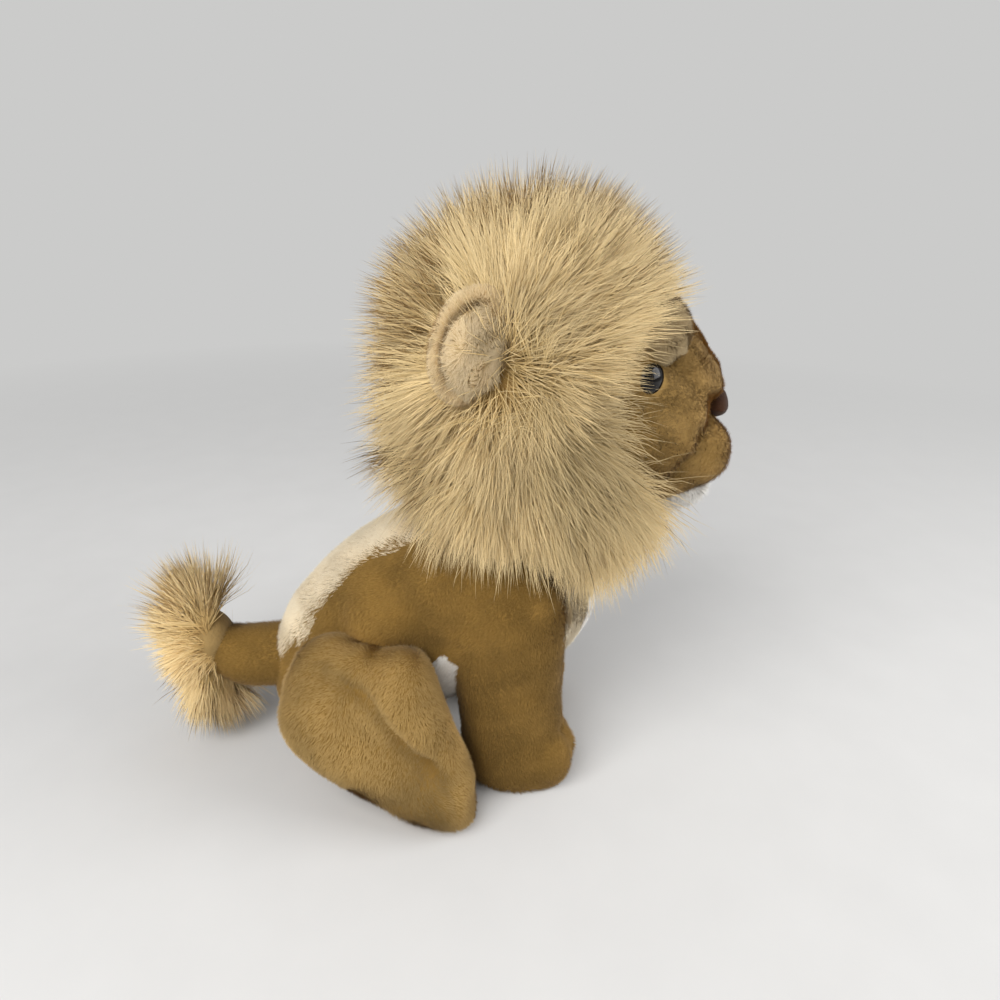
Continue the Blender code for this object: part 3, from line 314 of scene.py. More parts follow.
def add_fibre_map(obj, u, v):
    """The UV map of a piece of fibres, from one u and v for each corner."""
    layer = obj.data.uv_layers.new(name="OFBake")
    layer.uv.foreach_set("vector", np.stack([u, v], axis=-1).astype(np.float32).ravel())


def pile(name, roots, normals, nap, draw, length, lift, shade, width, material):
    """One triangle for each root: a short base across the nap and a tip along nap and normal."""
    count = len(roots)
    spread = draw.normal(0, 0.15, (count, 3))
    leaning = unit(nap * np.cos(lift)[:, None] + normals * np.sin(lift)[:, None] + spread)
    across = unit(np.cross(leaning, normals) + spread) * (width / 2)
    long = length * draw.uniform(0.7, 1.15, count)
    sunk = roots - normals * ROOT_DEPTH
    corners = np.stack([sunk - across, sunk + across, sunk + leaning * long[:, None]], axis=1)
    triangles = np.arange(3 * count).reshape(-1, 3)
    facing = np.repeat(unit(normals + 0.3 * spread + 0.22 * SKYWARD), 3, axis=0)
    obj = object_from(name, corners.reshape(-1, 3), triangles, material, facing)
    middle = np.clip(shade + draw.normal(0, 0.035, count), 0.02, 0.98)
    u = np.stack([middle - UV_HALF, middle + UV_HALF, middle], axis=1)
    v = np.tile([0.02, 0.02, 0.98], (count, 1))
    add_fibre_map(obj, u.ravel(), v.ravel())
    return obj


# %% [markdown]
# ## Long hair
#
# The mane and the tail tuft are long-pile fur: bent, tapered fibres that hold together in
# small locks. Each fibre is a narrow ribbon of four lengths. Fibres whose roots fall in
# the same cell of a loose grid draw together towards their tips, which makes the locks.


# %% Raising long hair
def waves(points, size, seed):
    """A smooth random vector at each point: six sine waves of about that length, summed."""
    draw = np.random.default_rng(seed)
    total = np.zeros_like(points)
    for turn in unit(draw.normal(0, 1, (6, 3))):
        pace = 2 * np.pi / (size * draw.uniform(0.7, 1.5))
        phase = draw.uniform(0, 2 * np.pi, 3)
        total += np.sin((points @ turn * pace)[:, None] + phase)
    return total / 3


def locks(roots, size, seed):
    """The lock of each root, from a grid warped by waves, and the middle of each lock."""
    warped = roots / size + 0.7 * waves(roots, 3 * size, seed)
    cells = np.round(warped).astype(np.int64)
    key = cells @ np.array([73856093, 19349663, 83492791])
    _, lock, counts = np.unique(key, return_inverse=True, return_counts=True)
    lock = lock.reshape(-1)
    middles = np.stack([np.bincount(lock, roots[:, i]) / counts for i in range(3)], axis=-1)
    return lock, middles[lock]


HAIR_DEPTH = 0.001  # a long hair starts this far under its backing
TRIMMED_HALF = 0.0812  # the longest hairs are trimmed this far from the middle plane


def long_hair(
    name, roots, normals, flow, draw, length, width, droop, gather, size, shade, material, seed,
    stray=0.34,
):
    """Ribbons: each step moves along flow, which turns down by droop; tips close on their lock."""
    count = len(roots)
    steps = 5
    lock, middles = locks(roots, size, seed)
    lock_draw = np.random.default_rng(seed + 1)
    lock_turn = lock_draw.normal(0, 0.15, (lock.max() + 1, 3))[lock]
    lock_bend = lock_draw.normal(0, 0.22, (lock.max() + 1, 3))[lock]
    lock_shade = lock_draw.normal(0, 0.09, lock.max() + 1)[lock]
    loose = np.where(draw.random(count) < 0.4, stray, 0.11)[:, None]
    heading = unit(flow + lock_turn + draw.normal(0, 1, (count, 3)) * loose)
    bend = draw.normal(0, 0.16, (count, 3)) + lock_bend
    long = length * draw.uniform(0.50, 1.12, count)
    here = roots - normals * HAIR_DEPTH
    own = roots - middles
    rails, faced = [], []
    for step in range(steps):
        t = step / (steps - 1)
        closed = here + own * (-gather * t**1.4)
        half = unit(np.cross(heading, normals)) * (width / 2 * (1 - 0.6 * t))
        rails += [closed] if step == steps - 1 else [closed - half, closed + half]
        faced += [unit(normals + 0.6 * bend + 0.45 * t * SKYWARD)] * (1 if step == steps - 1 else 2)
        fall = (droop * (step + 1) / steps)[:, None]
        heading = unit(heading - SKYWARD * fall + bend * 1.9 * (0.5 - t))
        here = here + heading * (long / (steps - 1))[:, None]
    points = np.stack(rails, axis=1)
    points[:, :, 0] = np.clip(points[:, :, 0], -TRIMMED_HALF, TRIMMED_HALF)
    corners = 2 * steps - 1
    pairs = range(0, corners - 3, 2)
    pattern = np.concatenate([[[i, i + 1, i + 2], [i + 1, i + 3, i + 2]] for i in pairs])
    pattern = np.concatenate([pattern, [[corners - 3, corners - 2, corners - 1]]])
    faces = (np.arange(count)[:, None, None] * corners + pattern[None]).reshape(-1, 3)
    facing = np.stack(faced, axis=1).reshape(-1, 3)
    obj = object_from(name, points.reshape(-1, 3), faces, material, facing)
    middle = np.clip(shade + lock_shade + draw.normal(0, 0.10, count), 0.03, 0.97)
    at = np.arange(corners)
    sides = np.where(at == at[-1], 0, np.where(at % 2, 1, -1)) * UV_HALF
    heights = 0.01 + 0.98 * (at // 2) / (steps - 1)
    u = (middle[:, None] + sides[None])[:, pattern.ravel()]
    v = np.tile(heights[pattern.ravel()], (count, 1))
    add_fibre_map(obj, u.ravel(), v.ravel())
    return obj


# %% [markdown]
# ## Finishes
#
# A fibre is darkest at its root, a painted shade where little light comes in, and palest
# at its tip, a painted sheen where light catches its end.
# The fibre finish reads both from the fibre's UV map and adds blotches in Object
# coordinates, so that the colour changes a little from place to place. The skin below
# takes the colour of the roots.


# %% Colours and node helpers
def linear(colour):
    """A colour told as 0 to 255 turned to the linear values that the shaders take."""
    value = np.array(colour) / 255
    return (*np.where(value <= 0.04045, value / 12.92, ((value + 0.055) / 1.055) ** 2.4), 1.0)


def new_finish(name, roughness, sheen=0.0, specular=0.2):
    """An empty material with its shader, and short ways to add and join its nodes."""
    material = bpy.data.materials.new(name)
    material.use_nodes = True
    nodes, links = material.node_tree.nodes, material.node_tree.links
    shader = nodes["Principled BSDF"]
    shader.inputs["Roughness"].default_value = roughness
    shader.inputs["Sheen Weight"].default_value = sheen
    shader.inputs["Sheen Roughness"].default_value = 0.5
    shader.inputs["Specular IOR Level"].default_value = specular

    def add(kind, **settings):
        node = nodes.new(kind)
        for key, value in settings.items():
            setattr(node, key, value)
        return node

    return material, add, links.new, shader


def add_noise(add, join, scale, detail=3.0):
    """Noise in Object coordinates, with its size told in waves per metre."""
    coordinates = add("ShaderNodeTexCoord")
    noise = add("ShaderNodeTexNoise")
    noise.inputs["Scale"].default_value = scale
    noise.inputs["Detail"].default_value = detail
    join(coordinates.outputs["Object"], noise.inputs["Vector"])
    return noise.outputs["Fac"]


def add_range(add, join, value, low, high, start=0.0, end=1.0):
    """A value's run from start to end turned into a run from low to high."""
    node = add("ShaderNodeMapRange")
    for key, number in (("From Min", start), ("From Max", end), ("To Min", low), ("To Max", high)):
        node.inputs[key].default_value = number
    join(value, node.inputs["Value"])
    return node.outputs["Result"]


def add_ramp(add, join, value, stops):
    """A colour ramp from pairs of place and colour."""
    ramp = add("ShaderNodeValToRGB")
    band = ramp.color_ramp
    while len(band.elements) < len(stops):
        band.elements.new(0.5)
    for element, (where, colour) in zip(band.elements, stops):
        element.position = where
        element.color = colour
    join(value, ramp.inputs["Fac"])
    return ramp.outputs["Color"]


def add_scaled(add, join, colour, amount):
    """A colour made darker or lighter by an amount."""
    node = add("ShaderNodeVectorMath", operation="SCALE")
    join(colour, node.inputs[0])
    join(amount, node.inputs["Scale"])
    return node.outputs["Vector"]


# %% Fibre and skin finishes
def fibre_finish(name, colours, spread=0.3, blotch=0.12, blotches=60.0, sheen=0.15):
    """Root, middle and tip by v, the fibre's own shade by u, and blotches from place to place."""
    material, add, join, shader = new_finish(name, 0.8, sheen, 0.12)
    uv = add("ShaderNodeUVMap", uv_map="OFBake")
    parts = add("ShaderNodeSeparateXYZ")
    join(uv.outputs["UV"], parts.inputs["Vector"])
    stops = tuple(zip((0.0, 0.45, 1.0), map(linear, colours)))
    colour = add_ramp(add, join, parts.outputs["Y"], stops)
    own = add_range(add, join, parts.outputs["X"], 1 - spread, 1 + spread)
    noise = add_noise(add, join, blotches)
    place_wise = add_range(add, join, noise, 1 - blotch, 1 + blotch, 0.3, 0.7)
    colour = add_scaled(add, join, colour, own)
    join(add_scaled(add, join, colour, place_wise), shader.inputs["Base Color"])
    return material


def scaled_colour(colour, amount):
    """A linear colour times an amount, opaque and no brighter than white."""
    return tuple(min(1.0, value * amount) for value in colour[:3]) + (1.0,)


def skin_finish(name, colour, roughness=0.9, grain=700.0, depth=0.0004, blotch=0.15):
    """Woven backing: blotches of colour, and a fine grain raised by a Bump node."""
    material, add, join, shader = new_finish(name, roughness, 0.1, 0.15)
    dark, pale = (scaled_colour(linear(colour), 1 + sign * blotch) for sign in (-1, 1))
    ramp = add_ramp(add, join, add_noise(add, join, 90.0), ((0.3, dark), (0.7, pale)))
    join(ramp, shader.inputs["Base Color"])
    bump = add("ShaderNodeBump")
    bump.inputs["Strength"].default_value = 0.5
    bump.inputs["Distance"].default_value = depth
    join(add_noise(add, join, grain, 1.0), bump.inputs["Height"])
    join(bump.outputs["Normal"], shader.inputs["Normal"])
    return material


# Painted light and shade: the haunch's copy of the gold plush is paler, as the lamp lights it, and
# the first copy darker for the shaded body, legs and tail.
gold_fibre, haunch_lit_fibre, face_fibre = (
    fibre_finish(name, colours, 0.34, blotch, blotches, 0.12)
    for name, colours, blotch, blotches in (
        ("gold_fibre", ((114, 85, 36), (130, 99, 45), (154, 121, 65)), 0.18, 40.0),
        ("haunch_lit_fibre", ((142, 112, 60), (158, 127, 72), (182, 152, 98)), 0.18, 40.0),
        ("face_fibre", ((130, 100, 50), (150, 118, 64), (178, 147, 94)), 0.12, 50.0),
    )
)
# Pale pile: a painted sheen where light grazes the spine, and the chest's own cream colour.
cream_and_sheen_fibre = fibre_finish(
    "cream_and_sheen_fibre", ((210, 189, 150), (232, 214, 180), (243, 230, 203)), 0.20, 0.05
)
mane_fibre = fibre_finish(
    "mane_fibre", ((146, 115, 66), (196, 167, 112), (224, 201, 154)), 0.32, 0.08, 30.0
)
white_fibre = fibre_finish("white_fibre", ((196, 191, 182), (228, 224, 216), (242, 239, 234)), 0.1)
nose_fibre = fibre_finish("nose_fibre", ((50, 30, 20), (76, 46, 32), (94, 62, 46)), 0.1)
face_skin = skin_finish("face_skin", (150, 119, 66))
gold_skin = skin_finish("gold_skin", (132, 101, 48))
mane_skin = skin_finish("mane_skin", (156, 129, 82))
white_skin = skin_finish("white_skin", (212, 206, 197))
nose_skin = skin_finish("nose_skin", (62, 40, 27))
ear_fibre = fibre_finish(
    "ear_fibre", ((178, 149, 102), (206, 180, 136), (224, 202, 161)), 0.18, 0.08
)
lining_fibre = fibre_finish(
    "lining_fibre", ((198, 172, 126), (222, 198, 154), (240, 221, 184)), 0.26, 0.08
)
ear_skin = skin_finish("ear_skin", (186, 157, 110))
canvas_skin = skin_finish("canvas_skin", (176, 168, 150), grain=1200.0)
print("finishes:", len(bpy.data.materials))


# %% [markdown]
# ## Dressing a form
#
# Every stuffed piece gets the same two parts: a padded skin, and the pile planted on it.
# The pile takes its nap as a function of place, stirs it with waves so that it parts and
# closes as handled plush does, and leaves out roots where another piece covers the skin.
# The last helper makes both parts at once.


# %% Skin and pile together
SIDES = ((1, "_left"), (-1, "_right"))


def soft_skin(name, points, triangles, material, body, slot, nodes, fill=0.8):
    """A padded piece that stands for CAD nodes."""
    obj = object_from(name, points, triangles, material)
    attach(obj, body)
    if nodes:
        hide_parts(*nodes)
    return obj


def plant(name, points, triangles, count, nap, body, slot, material, seed, **look):
    """Pile over a skin: count roots, less those that the keep function drops."""
    normals = point_normals(points, triangles)
    roots, facing, draw = scattered(points, triangles, normals, count, seed)
    keep = look.get("keep")
    if keep is not None:
        kept = keep(roots, facing)
        roots, facing = roots[kept], facing[kept]
    stir = waves(roots, look.get("stir_size", 0.022), seed + 7)
    combed = along_skin(nap(roots) + look.get("stir", 0.45) * stir, facing)
    lift = np.radians(look.get("lift", 38) + 14 * waves(roots, 0.016, seed + 9)[:, 0])
    length = look.get("length", 0.0026)
    length = length(roots) if callable(length) else length
    wide, fine = waves(roots, 0.030, seed + 11)[:, 0], waves(roots, 0.010, seed + 13)[:, 0]
    shade = 0.52 + 0.15 * wide + 0.06 * fine
    # The dark function paints light and shade into the pile: above nothing it darkens, below
    # nothing it lightens.
    if "dark" in look:
        shade = shade - look["dark"](roots)
    width = look.get("width", 0.00034)
    obj = pile(name, roots, facing, combed, draw, length, lift, shade, width, material)
    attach(obj, body)
    print(name, "fibres:", len(roots))
    return obj


def dress(kind, ending, form, finishes, body, slot, nodes, fill, count, nap, seed, **look):
    """The skin KIND_plush and the pile KIND_pile over a form, which is its points and triangles."""
    skin, fibre = finishes
    soft_skin(kind + "_plush" + ending, *form, skin, body, slot, nodes, fill)
    plant(kind + "_pile" + ending, *form, count, nap, body, slot, fibre, seed, **look)


def inside(points, middle, halves):
    """True where the sum of squares of the distances over the half axes is below one."""
    return (((points - np.asarray(middle)) / np.asarray(halves)) ** 2).sum(-1) < 1


# %% [markdown]
# ## Torso
#
# The body is a bean: it sits on the rump and leans up to the shoulders. Its rings are the
# CAD part's own, joined by smooth curves, with a shoulder on each side that meets the leg
# and a flank before the thigh. A fold is pressed into each flank. Along the spine part of
# the pile is painted pale, a painted sheen where light grazes the back; the chest is cream.

# %% Torso form
NECK_AHEAD, NECK_UP = 0.0650, 0.1050
NECK = place(0, NECK_AHEAD, NECK_UP)
TORSO_LENGTH, TORSO_HEIGHT, TORSO_WIDTH, TORSO_REAR = 0.154, 0.119, 0.088, -0.043
TORSO_LIFT = 0.0019  # the rings start this far above the seat panel's underside
torso_rows = [
    (0.00, 0.120, 0.420, 0.60),
    (0.10, 0.040, 0.485, 0.70),
    (0.22, 0.006, 0.560, 0.745),
    (0.32, 0.000, 0.670, 0.76),
    (0.40, 0.008, 0.860, 0.78),
    (0.51, 0.035, 0.960, 0.85),
    (0.65, 0.095, 1.000, 0.95),
    (0.78, 0.185, 0.985, 1.00),
    (0.88, 0.275, 0.945, 0.97),
    (0.96, 0.380, 0.870, 0.80),
    (1.00, 0.480, 0.780, 0.48),
]
up, rear, front, wide = between_rows(torso_rows, 60).T
middles = place(0, TORSO_REAR + (rear + front) / 2 * TORSO_LENGTH, up * TORSO_HEIGHT + TORSO_LIFT)
torso_tube = closed_tube(
    "torso_tube",
    middles,
    place(wide * TORSO_WIDTH / 2, 0, 0),
    place(0, (front - rear) / 2 * TORSO_LENGTH, 0),
    64,
)
swellings = [
    ellipsoid(name, place(side * out, ahead, up), halves)
    for name, out, ahead, up, halves in (
        ("shoulder", 0.0300, 0.0705, 0.0860, (0.0172, 0.0268, 0.0285)),
        ("flank", 0.0285, 0.0210, 0.0860, (0.0160, 0.0220, 0.0170)),
    )
    for side in (1, -1)
]
torso_points, torso_triangles = fused([torso_tube, *swellings], 0.0022, 12)
IN_PROFILE = (0, 1, 1)  # a fold that runs along a side is measured in the side view
flank_fold = place(
    0, np.array([0.0404, 0.0356, 0.0297, 0.0235]), np.array([0.0770, 0.0900, 0.0985, 0.1070])
)
torso_normals = point_normals(torso_points, torso_triangles)
off_middle = np.abs(torso_points[:, 0]) > 0.02
torso_points = press(
    torso_points, torso_normals, flank_fold, 0.0065, 0.0022, IN_PROFILE, off_middle
)
soft_skin("torso_plush", torso_points, torso_triangles, gold_skin, "body", "gold_velour", ["torso"])
print("torso skin triangles:", len(torso_triangles))

# %% Torso pile
LEG_OUT, LEG_WIDTH, LEG_DEPTH = 0.0304, 0.0322, 0.050
SHOULDER_AHEAD, SHOULDER_UP, PAW_STEP = 0.0710, 0.0800, 0.0055
HIP_AHEAD, HIP_UP, THIGH_OUT = 0.0100, 0.0530, 0.049


def by_sides(points):
    """How far points are out to either side, ahead and up."""
    return np.abs(points[:, 0]), -points[:, 1], points[:, 2]


def belly_region(points):
    """The white panel: under the belly and up between the front legs."""
    out, ahead, up = by_sides(points)
    behind_leg = bell(ahead - 0.043, 0.0075)
    edge = 0.060 + 0.0125 * behind_leg + 0.0015 * waves(points, 0.008, 4)[:, 0]
    under = (ahead > 0.014) & (ahead < 0.052) & (up < edge) & (out < 0.040)
    chest = (ahead >= 0.052) & (out < 0.0145) & (up < 0.088)
    low = (ahead >= 0.052) & (out < 0.030) & (up < 0.050)
    return under | chest | low


def spine_sheen(points):
    """The spine's painted sheen: how far a point is inside it, 1 at the spine and 0 beyond its
    edge.
    """
    out, ahead, up = by_sides(points)
    heights = [0.034, 0.045, 0.058, 0.072, 0.088, 0.105, 0.125]
    half = np.interp(up, heights, [0, 11, 19, 23, 26, 23, 22]) / 1000
    edge = half + 0.0020 * waves(points, 0.014, 3)[:, 0]
    behind = ahead < 0.050 + (up - 0.1) * 0.3
    return rising(edge - out, 0.008) * behind


def torso_open(roots, facing):
    """Roots that no leg, thigh or seat covers."""
    out, ahead, up = by_sides(roots)
    in_leg = (out > 0.018) & (out < 0.043) & (np.abs(ahead - 0.073) < 0.020) & (up < 0.070)
    mirrored = np.stack([out, -ahead, up], axis=-1)
    in_thigh = inside(mirrored, (0.0460, -HIP_AHEAD, HIP_UP), (0.016, 0.028, 0.020))
    under_neck = np.linalg.norm(roots - NECK, axis=1) < 0.024
    return ~in_leg & ~in_thigh & ~under_neck & (up > 0.0035)


def torso_nap(roots):
    """Down and back, from the shoulders to the rump."""
    return place(roots[:, 0] * 4, -0.75, -0.65)


def cream_and_sheen_region(roots):
    """By chance, more surely further in: the painted sheen along the spine, and the cream chest."""
    out, ahead, up = by_sides(roots)
    chest = rising(ahead - 0.0935, 0.003) * (out < 0.036)
    return np.maximum(spine_sheen(roots), chest) > np.random.default_rng(5).random(len(roots))


def torso_shade(roots):
    """Painted shade: darker in the flank's fold and over the shoulder."""
    shoulder = bell(-roots[:, 1] - 0.085, 0.022)
    return 0.34 * near_path(roots, flank_fold, 0.0075, IN_PROFILE) + 0.18 * shoulder


def gold_torso(roots, facing):
    """Open roots outside the belly panel and the pale places."""
    return torso_open(roots, facing) & ~belly_region(roots) & ~cream_and_sheen_region(roots)


def pale_torso(roots, facing):
    """Open roots of the spine's painted sheen and the cream chest."""
    return torso_open(roots, facing) & ~belly_region(roots) & cream_and_sheen_region(roots)


def white_torso(roots, facing):
    """Open roots of the belly panel."""
    return torso_open(roots, facing) & belly_region(roots)


def spine_shade(roots):
    """Much darker on the chest, where the ruff shades the pile."""
    return 1.2 * (-roots[:, 1] > 0.088)


# The pale pile is a painted sheen along the spine and the real cream of the chest; the dark
# functions paint shade into the gold and pale piles.
for kind, count, slot, fibre, look in (
    ("torso", 230000, "gold_velour", gold_fibre, {"keep": gold_torso, "dark": torso_shade}),
    (
        "spine", 420000, "cream_plush", cream_and_sheen_fibre,
        {"keep": pale_torso, "length": 0.003, "width": 0.0004, "dark": spine_shade},
    ),
    ("belly", 230000, "white_plush", white_fibre, {"keep": white_torso}),
):
    plant(
        kind + "_pile", torso_points, torso_triangles, count, torso_nap, "body", slot, fibre, 11,
        **look,
    )

# %% [markdown]
# ## Belly panel, seat panel, pellet pouch and neck
#
# These sewn parts are mostly hidden. The belly panel is the torso's own surface lifted by
# half a millimetre, so it lies snugly. The seat panel is flat because the toy rests on it.

# %% Belly panel
BELLY_OFF, BELLY_THICKNESS = 0.0006, 0.0008
belly_triangles = torso_triangles[belly_region(torso_points)[torso_triangles].all(axis=1)]
torso_normals = point_normals(torso_points, torso_triangles)
used, renumbered = np.unique(belly_triangles, return_inverse=True)
belly_points = (torso_points + BELLY_OFF * torso_normals)[used]
belly_triangles = renumbered.reshape(-1, 3)
belly_plush = soft_skin(
    "belly_plush", belly_points, belly_triangles, white_skin, "body", "white_plush",
    ["belly_panel"], 0.3,
)
thick = belly_plush.modifiers.new("thickness", "SOLIDIFY")
thick.thickness = BELLY_THICKNESS
thick.offset = -1

# %% Seat panel, pouch and neck
SEAT_HALVES, SEAT_HALF_HEIGHT = (0.026, 0.0225), 0.0008
POUCH_HALVES, POUCH_MIDDLE, POUCH_HALF_HEIGHT = (0.020, 0.019), 0.0139, 0.012
climb = np.linspace(0, np.pi, 13)


def flat_bag(name, middle, half_height, halves, size, material):
    """A low bag: a ring of each size at each height, the cosine of the climb."""
    middles = place(0, 0, middle - half_height * np.cos(climb))
    bag = closed_tube(name, middles, place(halves[0] * size, 0, 0), place(0, halves[1] * size, 0))
    bag.data.materials.append(material)
    return bag


seat_size = 1 - 0.06 * (1 - np.sin(climb))
seat_cloth = flat_bag(
    "seat_cloth", SEAT_HALF_HEIGHT, SEAT_HALF_HEIGHT, SEAT_HALVES, seat_size, gold_skin
)
pouch_size = (1 - np.cos(climb) ** 4) ** 0.5 * 0.35 + 0.65
pouch_cloth = flat_bag(
    "pouch_cloth", POUCH_MIDDLE, POUCH_HALF_HEIGHT, POUCH_HALVES, pouch_size, canvas_skin
)
neck_rows = [
    (-0.0117, 0.001),
    (-0.0101, 0.0058),
    (-0.006, 0.0100),
    (0, 0.0117),
    (0.005, 0.0106),
    (0.0077, 0.0088),
    (0.02, 0.0088),
    (0.041, 0.0088),
]
rise, radius = between_rows(neck_rows, 40).T
neck_cloth = closed_tube(
    "neck_cloth", place(0, NECK_AHEAD, NECK_UP + rise), place(radius, 0, 0), place(0, radius, 0)
)
neck_cloth.data.materials.append(canvas_skin)
for obj, body, slot, node in (
    (seat_cloth, "body", "gold_velour", "seat_panel"),
    (pouch_cloth, "body", "canvas", "pellet_pouch"),
    (neck_cloth, "neck", "canvas", "neck"),
):
    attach(obj, body)
    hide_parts(node)

# %% [markdown]
# ## Front legs
#
# Each front leg is one stuffed column with a round paw. Two threads drawn tight over the
# paw's front make its toes, so the form gets three toe bulges and two folds between them.


# %% Front leg forms
ON_FLOOR = 0.0004  # the underside of paws and feet is flattened at this height
leg_rows = [
    (0.00, 1.00, 0.84, 0.86),
    (0.07, 1.00, 0.99, 0.97),
    (0.17, 0.98, 1.03, 1.00),
    (0.29, 0.80, 1.00, 1.00),
    (0.41, 0.45, 0.94, 0.98),
    (0.55, 0.15, 0.93, 0.97),
    (0.76, 0.00, 0.97, 0.98),
    (1.00, 0.00, 1.00, 1.00),
]
TOE_APART = 0.0088
toe_rows = np.array([(0.0905, 0.033), (0.1025, 0.026), (0.1035, 0.016), (0.1000, 0.006)])


def front_leg_form(side):
    """The column's rings, its dome about the shoulder joint, and the toes of its paw."""
    up, shift, deep, wide = between_rows(leg_rows, 40).T
    turn = np.linspace(0, np.pi / 2, 14)[1:]
    heights = np.concatenate([up * SHOULDER_UP, SHOULDER_UP + LEG_DEPTH / 2 * np.sin(turn)])
    heights[0] = 0.0006
    ahead = SHOULDER_AHEAD + PAW_STEP * np.concatenate([shift, 0 * turn])
    size = np.maximum(np.cos(turn), 0.02)
    column = closed_tube(
        "column",
        place(side * LEG_OUT, ahead, heights),
        place(LEG_WIDTH / 2 * np.concatenate([wide, size]), 0, 0),
        place(0, LEG_DEPTH / 2 * np.concatenate([deep, size]), 0),
    )
    toes = [
        ellipsoid(
            "toe",
            place(side * LEG_OUT + out, 0.0895 - abs(out) * 0.25, 0.0160),
            (0.0068, 0.0135, 0.0145),
        )
        for out in (-TOE_APART, 0.0, TOE_APART)
    ]
    return fused([column, *toes], 0.0016, 4)


def leg_nap(roots):
    """Down the leg, and forward over the paw."""
    forward = rising(0.03 - roots[:, 2], 0.03) * 0.5
    return place(0, forward, -1)


def leg_shade(roots):
    """Painted shade over the leg, and painted light on the toes."""
    return 0.28 - 0.45 * rising(-roots[:, 1] - 0.093, 0.008) * (roots[:, 2] < 0.036)


for side, ending in SIDES:
    points, triangles = front_leg_form(side)
    normals = point_normals(points, triangles)
    for out in (-0.0046, 0.0046):
        points = press(points, normals, place(side * LEG_OUT + out, *toe_rows.T), 0.0026, 0.0024)
    points[:, 2] = np.maximum(points[:, 2], ON_FLOOR)
    limb = "front_leg" + ending
    dress(
        "front_leg", ending, (points, triangles), (gold_skin, gold_fibre), limb, "gold_velour",
        [limb], 0.8, 62000, leg_nap, 21 if side > 0 else 22,
        keep=lambda roots, facing: roots[:, 2] > 0.0012, dark=leg_shade,
    )

# %% [markdown]
# ## Hind legs
#
# A hind leg is a round thigh with a long foot sewn before it, which splays outwards. Hip
# and rump round it off above, a shank leads down to the foot, and a lobe before it is the
# knee. All are fused with few smoothing rounds, so a soft crease stays between them. The
# crease over the knee and the one above the toes are pressed in afterwards.


# %% Hind leg forms
foot_rows = [
    (0.00, 1.00, 0.10, 0.10),
    (0.05, 0.95, 0.55, 0.55),
    (0.18, 0.72, 0.90, 0.88),
    (0.36, 0.40, 1.02, 0.96),
    (0.56, 0.12, 1.00, 0.98),
    (0.78, 0.00, 1.00, 1.00),
    (0.91, 0.00, 0.84, 0.84),
    (0.975, 0.00, 0.48, 0.50),
    (1.00, 0.00, 0.10, 0.10),
]
shank_rows = [
    (0.0440, -0.0170, 0.0660, 0.0020),
    (0.0445, -0.0155, 0.0640, 0.0120),
    (0.0465, -0.0115, 0.0585, 0.0195),
    (0.0490, -0.0050, 0.0490, 0.0225),
    (0.0515, 0.0040, 0.0390, 0.0215),
    (0.0545, 0.0140, 0.0300, 0.0190),
    (0.0575, 0.0240, 0.0235, 0.0165),
    (0.0600, 0.0340, 0.0190, 0.0120),
    (0.0610, 0.0380, 0.0175, 0.0020),
]
lobe_rows = [
    (0.0500, 0.0170, 0.0790, 0.0020),
    (0.0500, 0.0180, 0.0760, 0.0110),
    (0.0505, 0.0205, 0.0690, 0.0170),
    (0.0510, 0.0250, 0.0580, 0.0180),
    (0.0520, 0.0320, 0.0450, 0.0150),
    (0.0540, 0.0395, 0.0320, 0.0125),
    (0.0560, 0.0445, 0.0220, 0.0115),
    (0.0575, 0.0475, 0.0150, 0.0105),
    (0.0580, 0.0485, 0.0060, 0.0060),
    (0.0580, 0.0485, 0.0040, 0.0010),
]
THIGH_DIP = math.radians(12)
HEEL_BEYOND, HEEL_BEHIND, FOOT_RUN, FOOT_SPLAY, FOOT_RISE = 0.0015, 0.016, 0.063, 0.0125, 0.022
FOOT_TALL, FOOT_WIDE = 0.031, 0.029


def hind_leg_form(side):
    """A thigh and a knee, the shank's rings along its slope, and the foot's along its run."""
    cosine, sine = math.cos(THIGH_DIP), math.sin(THIGH_DIP)
    turned = [(1, 0, 0), (0, cosine, -sine), (0, sine, cosine)]
    thigh_middle = place(side * 0.0450, HIP_AHEAD - 0.003, HIP_UP + 0.001)
    thigh = ellipsoid("thigh", thigh_middle, (0.0205, 0.0330, 0.0255), turned)
    out, ahead, up, size = between_rows(lobe_rows, 30).T
    lobe_up = unit(place(0, 0.88, 0.47)) * size[:, None]
    lobe = closed_tube("lobe", place(side * out, ahead, up), place(size, 0, 0), lobe_up)
    out, ahead, up, size = between_rows(shank_rows, 30).T
    shank_middles = place(side * out, ahead, up)
    slope = unit(place(side * 0.30, 0.62, -0.72))
    level = unit(np.cross(slope, [0, 0, 1]))
    lift = np.cross(level, slope)
    shank = closed_tube("shank", shank_middles, level * 0.92 * size[:, None], lift * size[:, None])
    along, rise, tall, wide = between_rows(foot_rows, 36).T
    heel = place(side * (THIGH_OUT + HEEL_BEYOND), HIP_AHEAD - HEEL_BEHIND, 0)
    run = place(side * FOOT_SPLAY, FOOT_RUN, 0)
    across = unit(np.cross([0, 0, 1], run))
    half = FOOT_TALL / 2 * tall
    middles = heel + run * along[:, None]
    middles[:, 2] = FOOT_TALL * 0.98 / 2 - (FOOT_TALL / 2 - half) * 0.6 + FOOT_RISE * rise
    foot = closed_tube("foot", middles, across * (FOOT_WIDE / 2 * wide)[:, None], place(0, 0, half))
    rump = ellipsoid("rump", place(side * 0.0400, -0.0035, 0.0635), (0.0175, 0.0190, 0.0172))
    hip = ellipsoid("hip", place(side * 0.0465, 0.0085, 0.0650), (0.0170, 0.0240, 0.0150))
    return fused([thigh, rump, hip, lobe, shank, foot], 0.0018, 9)


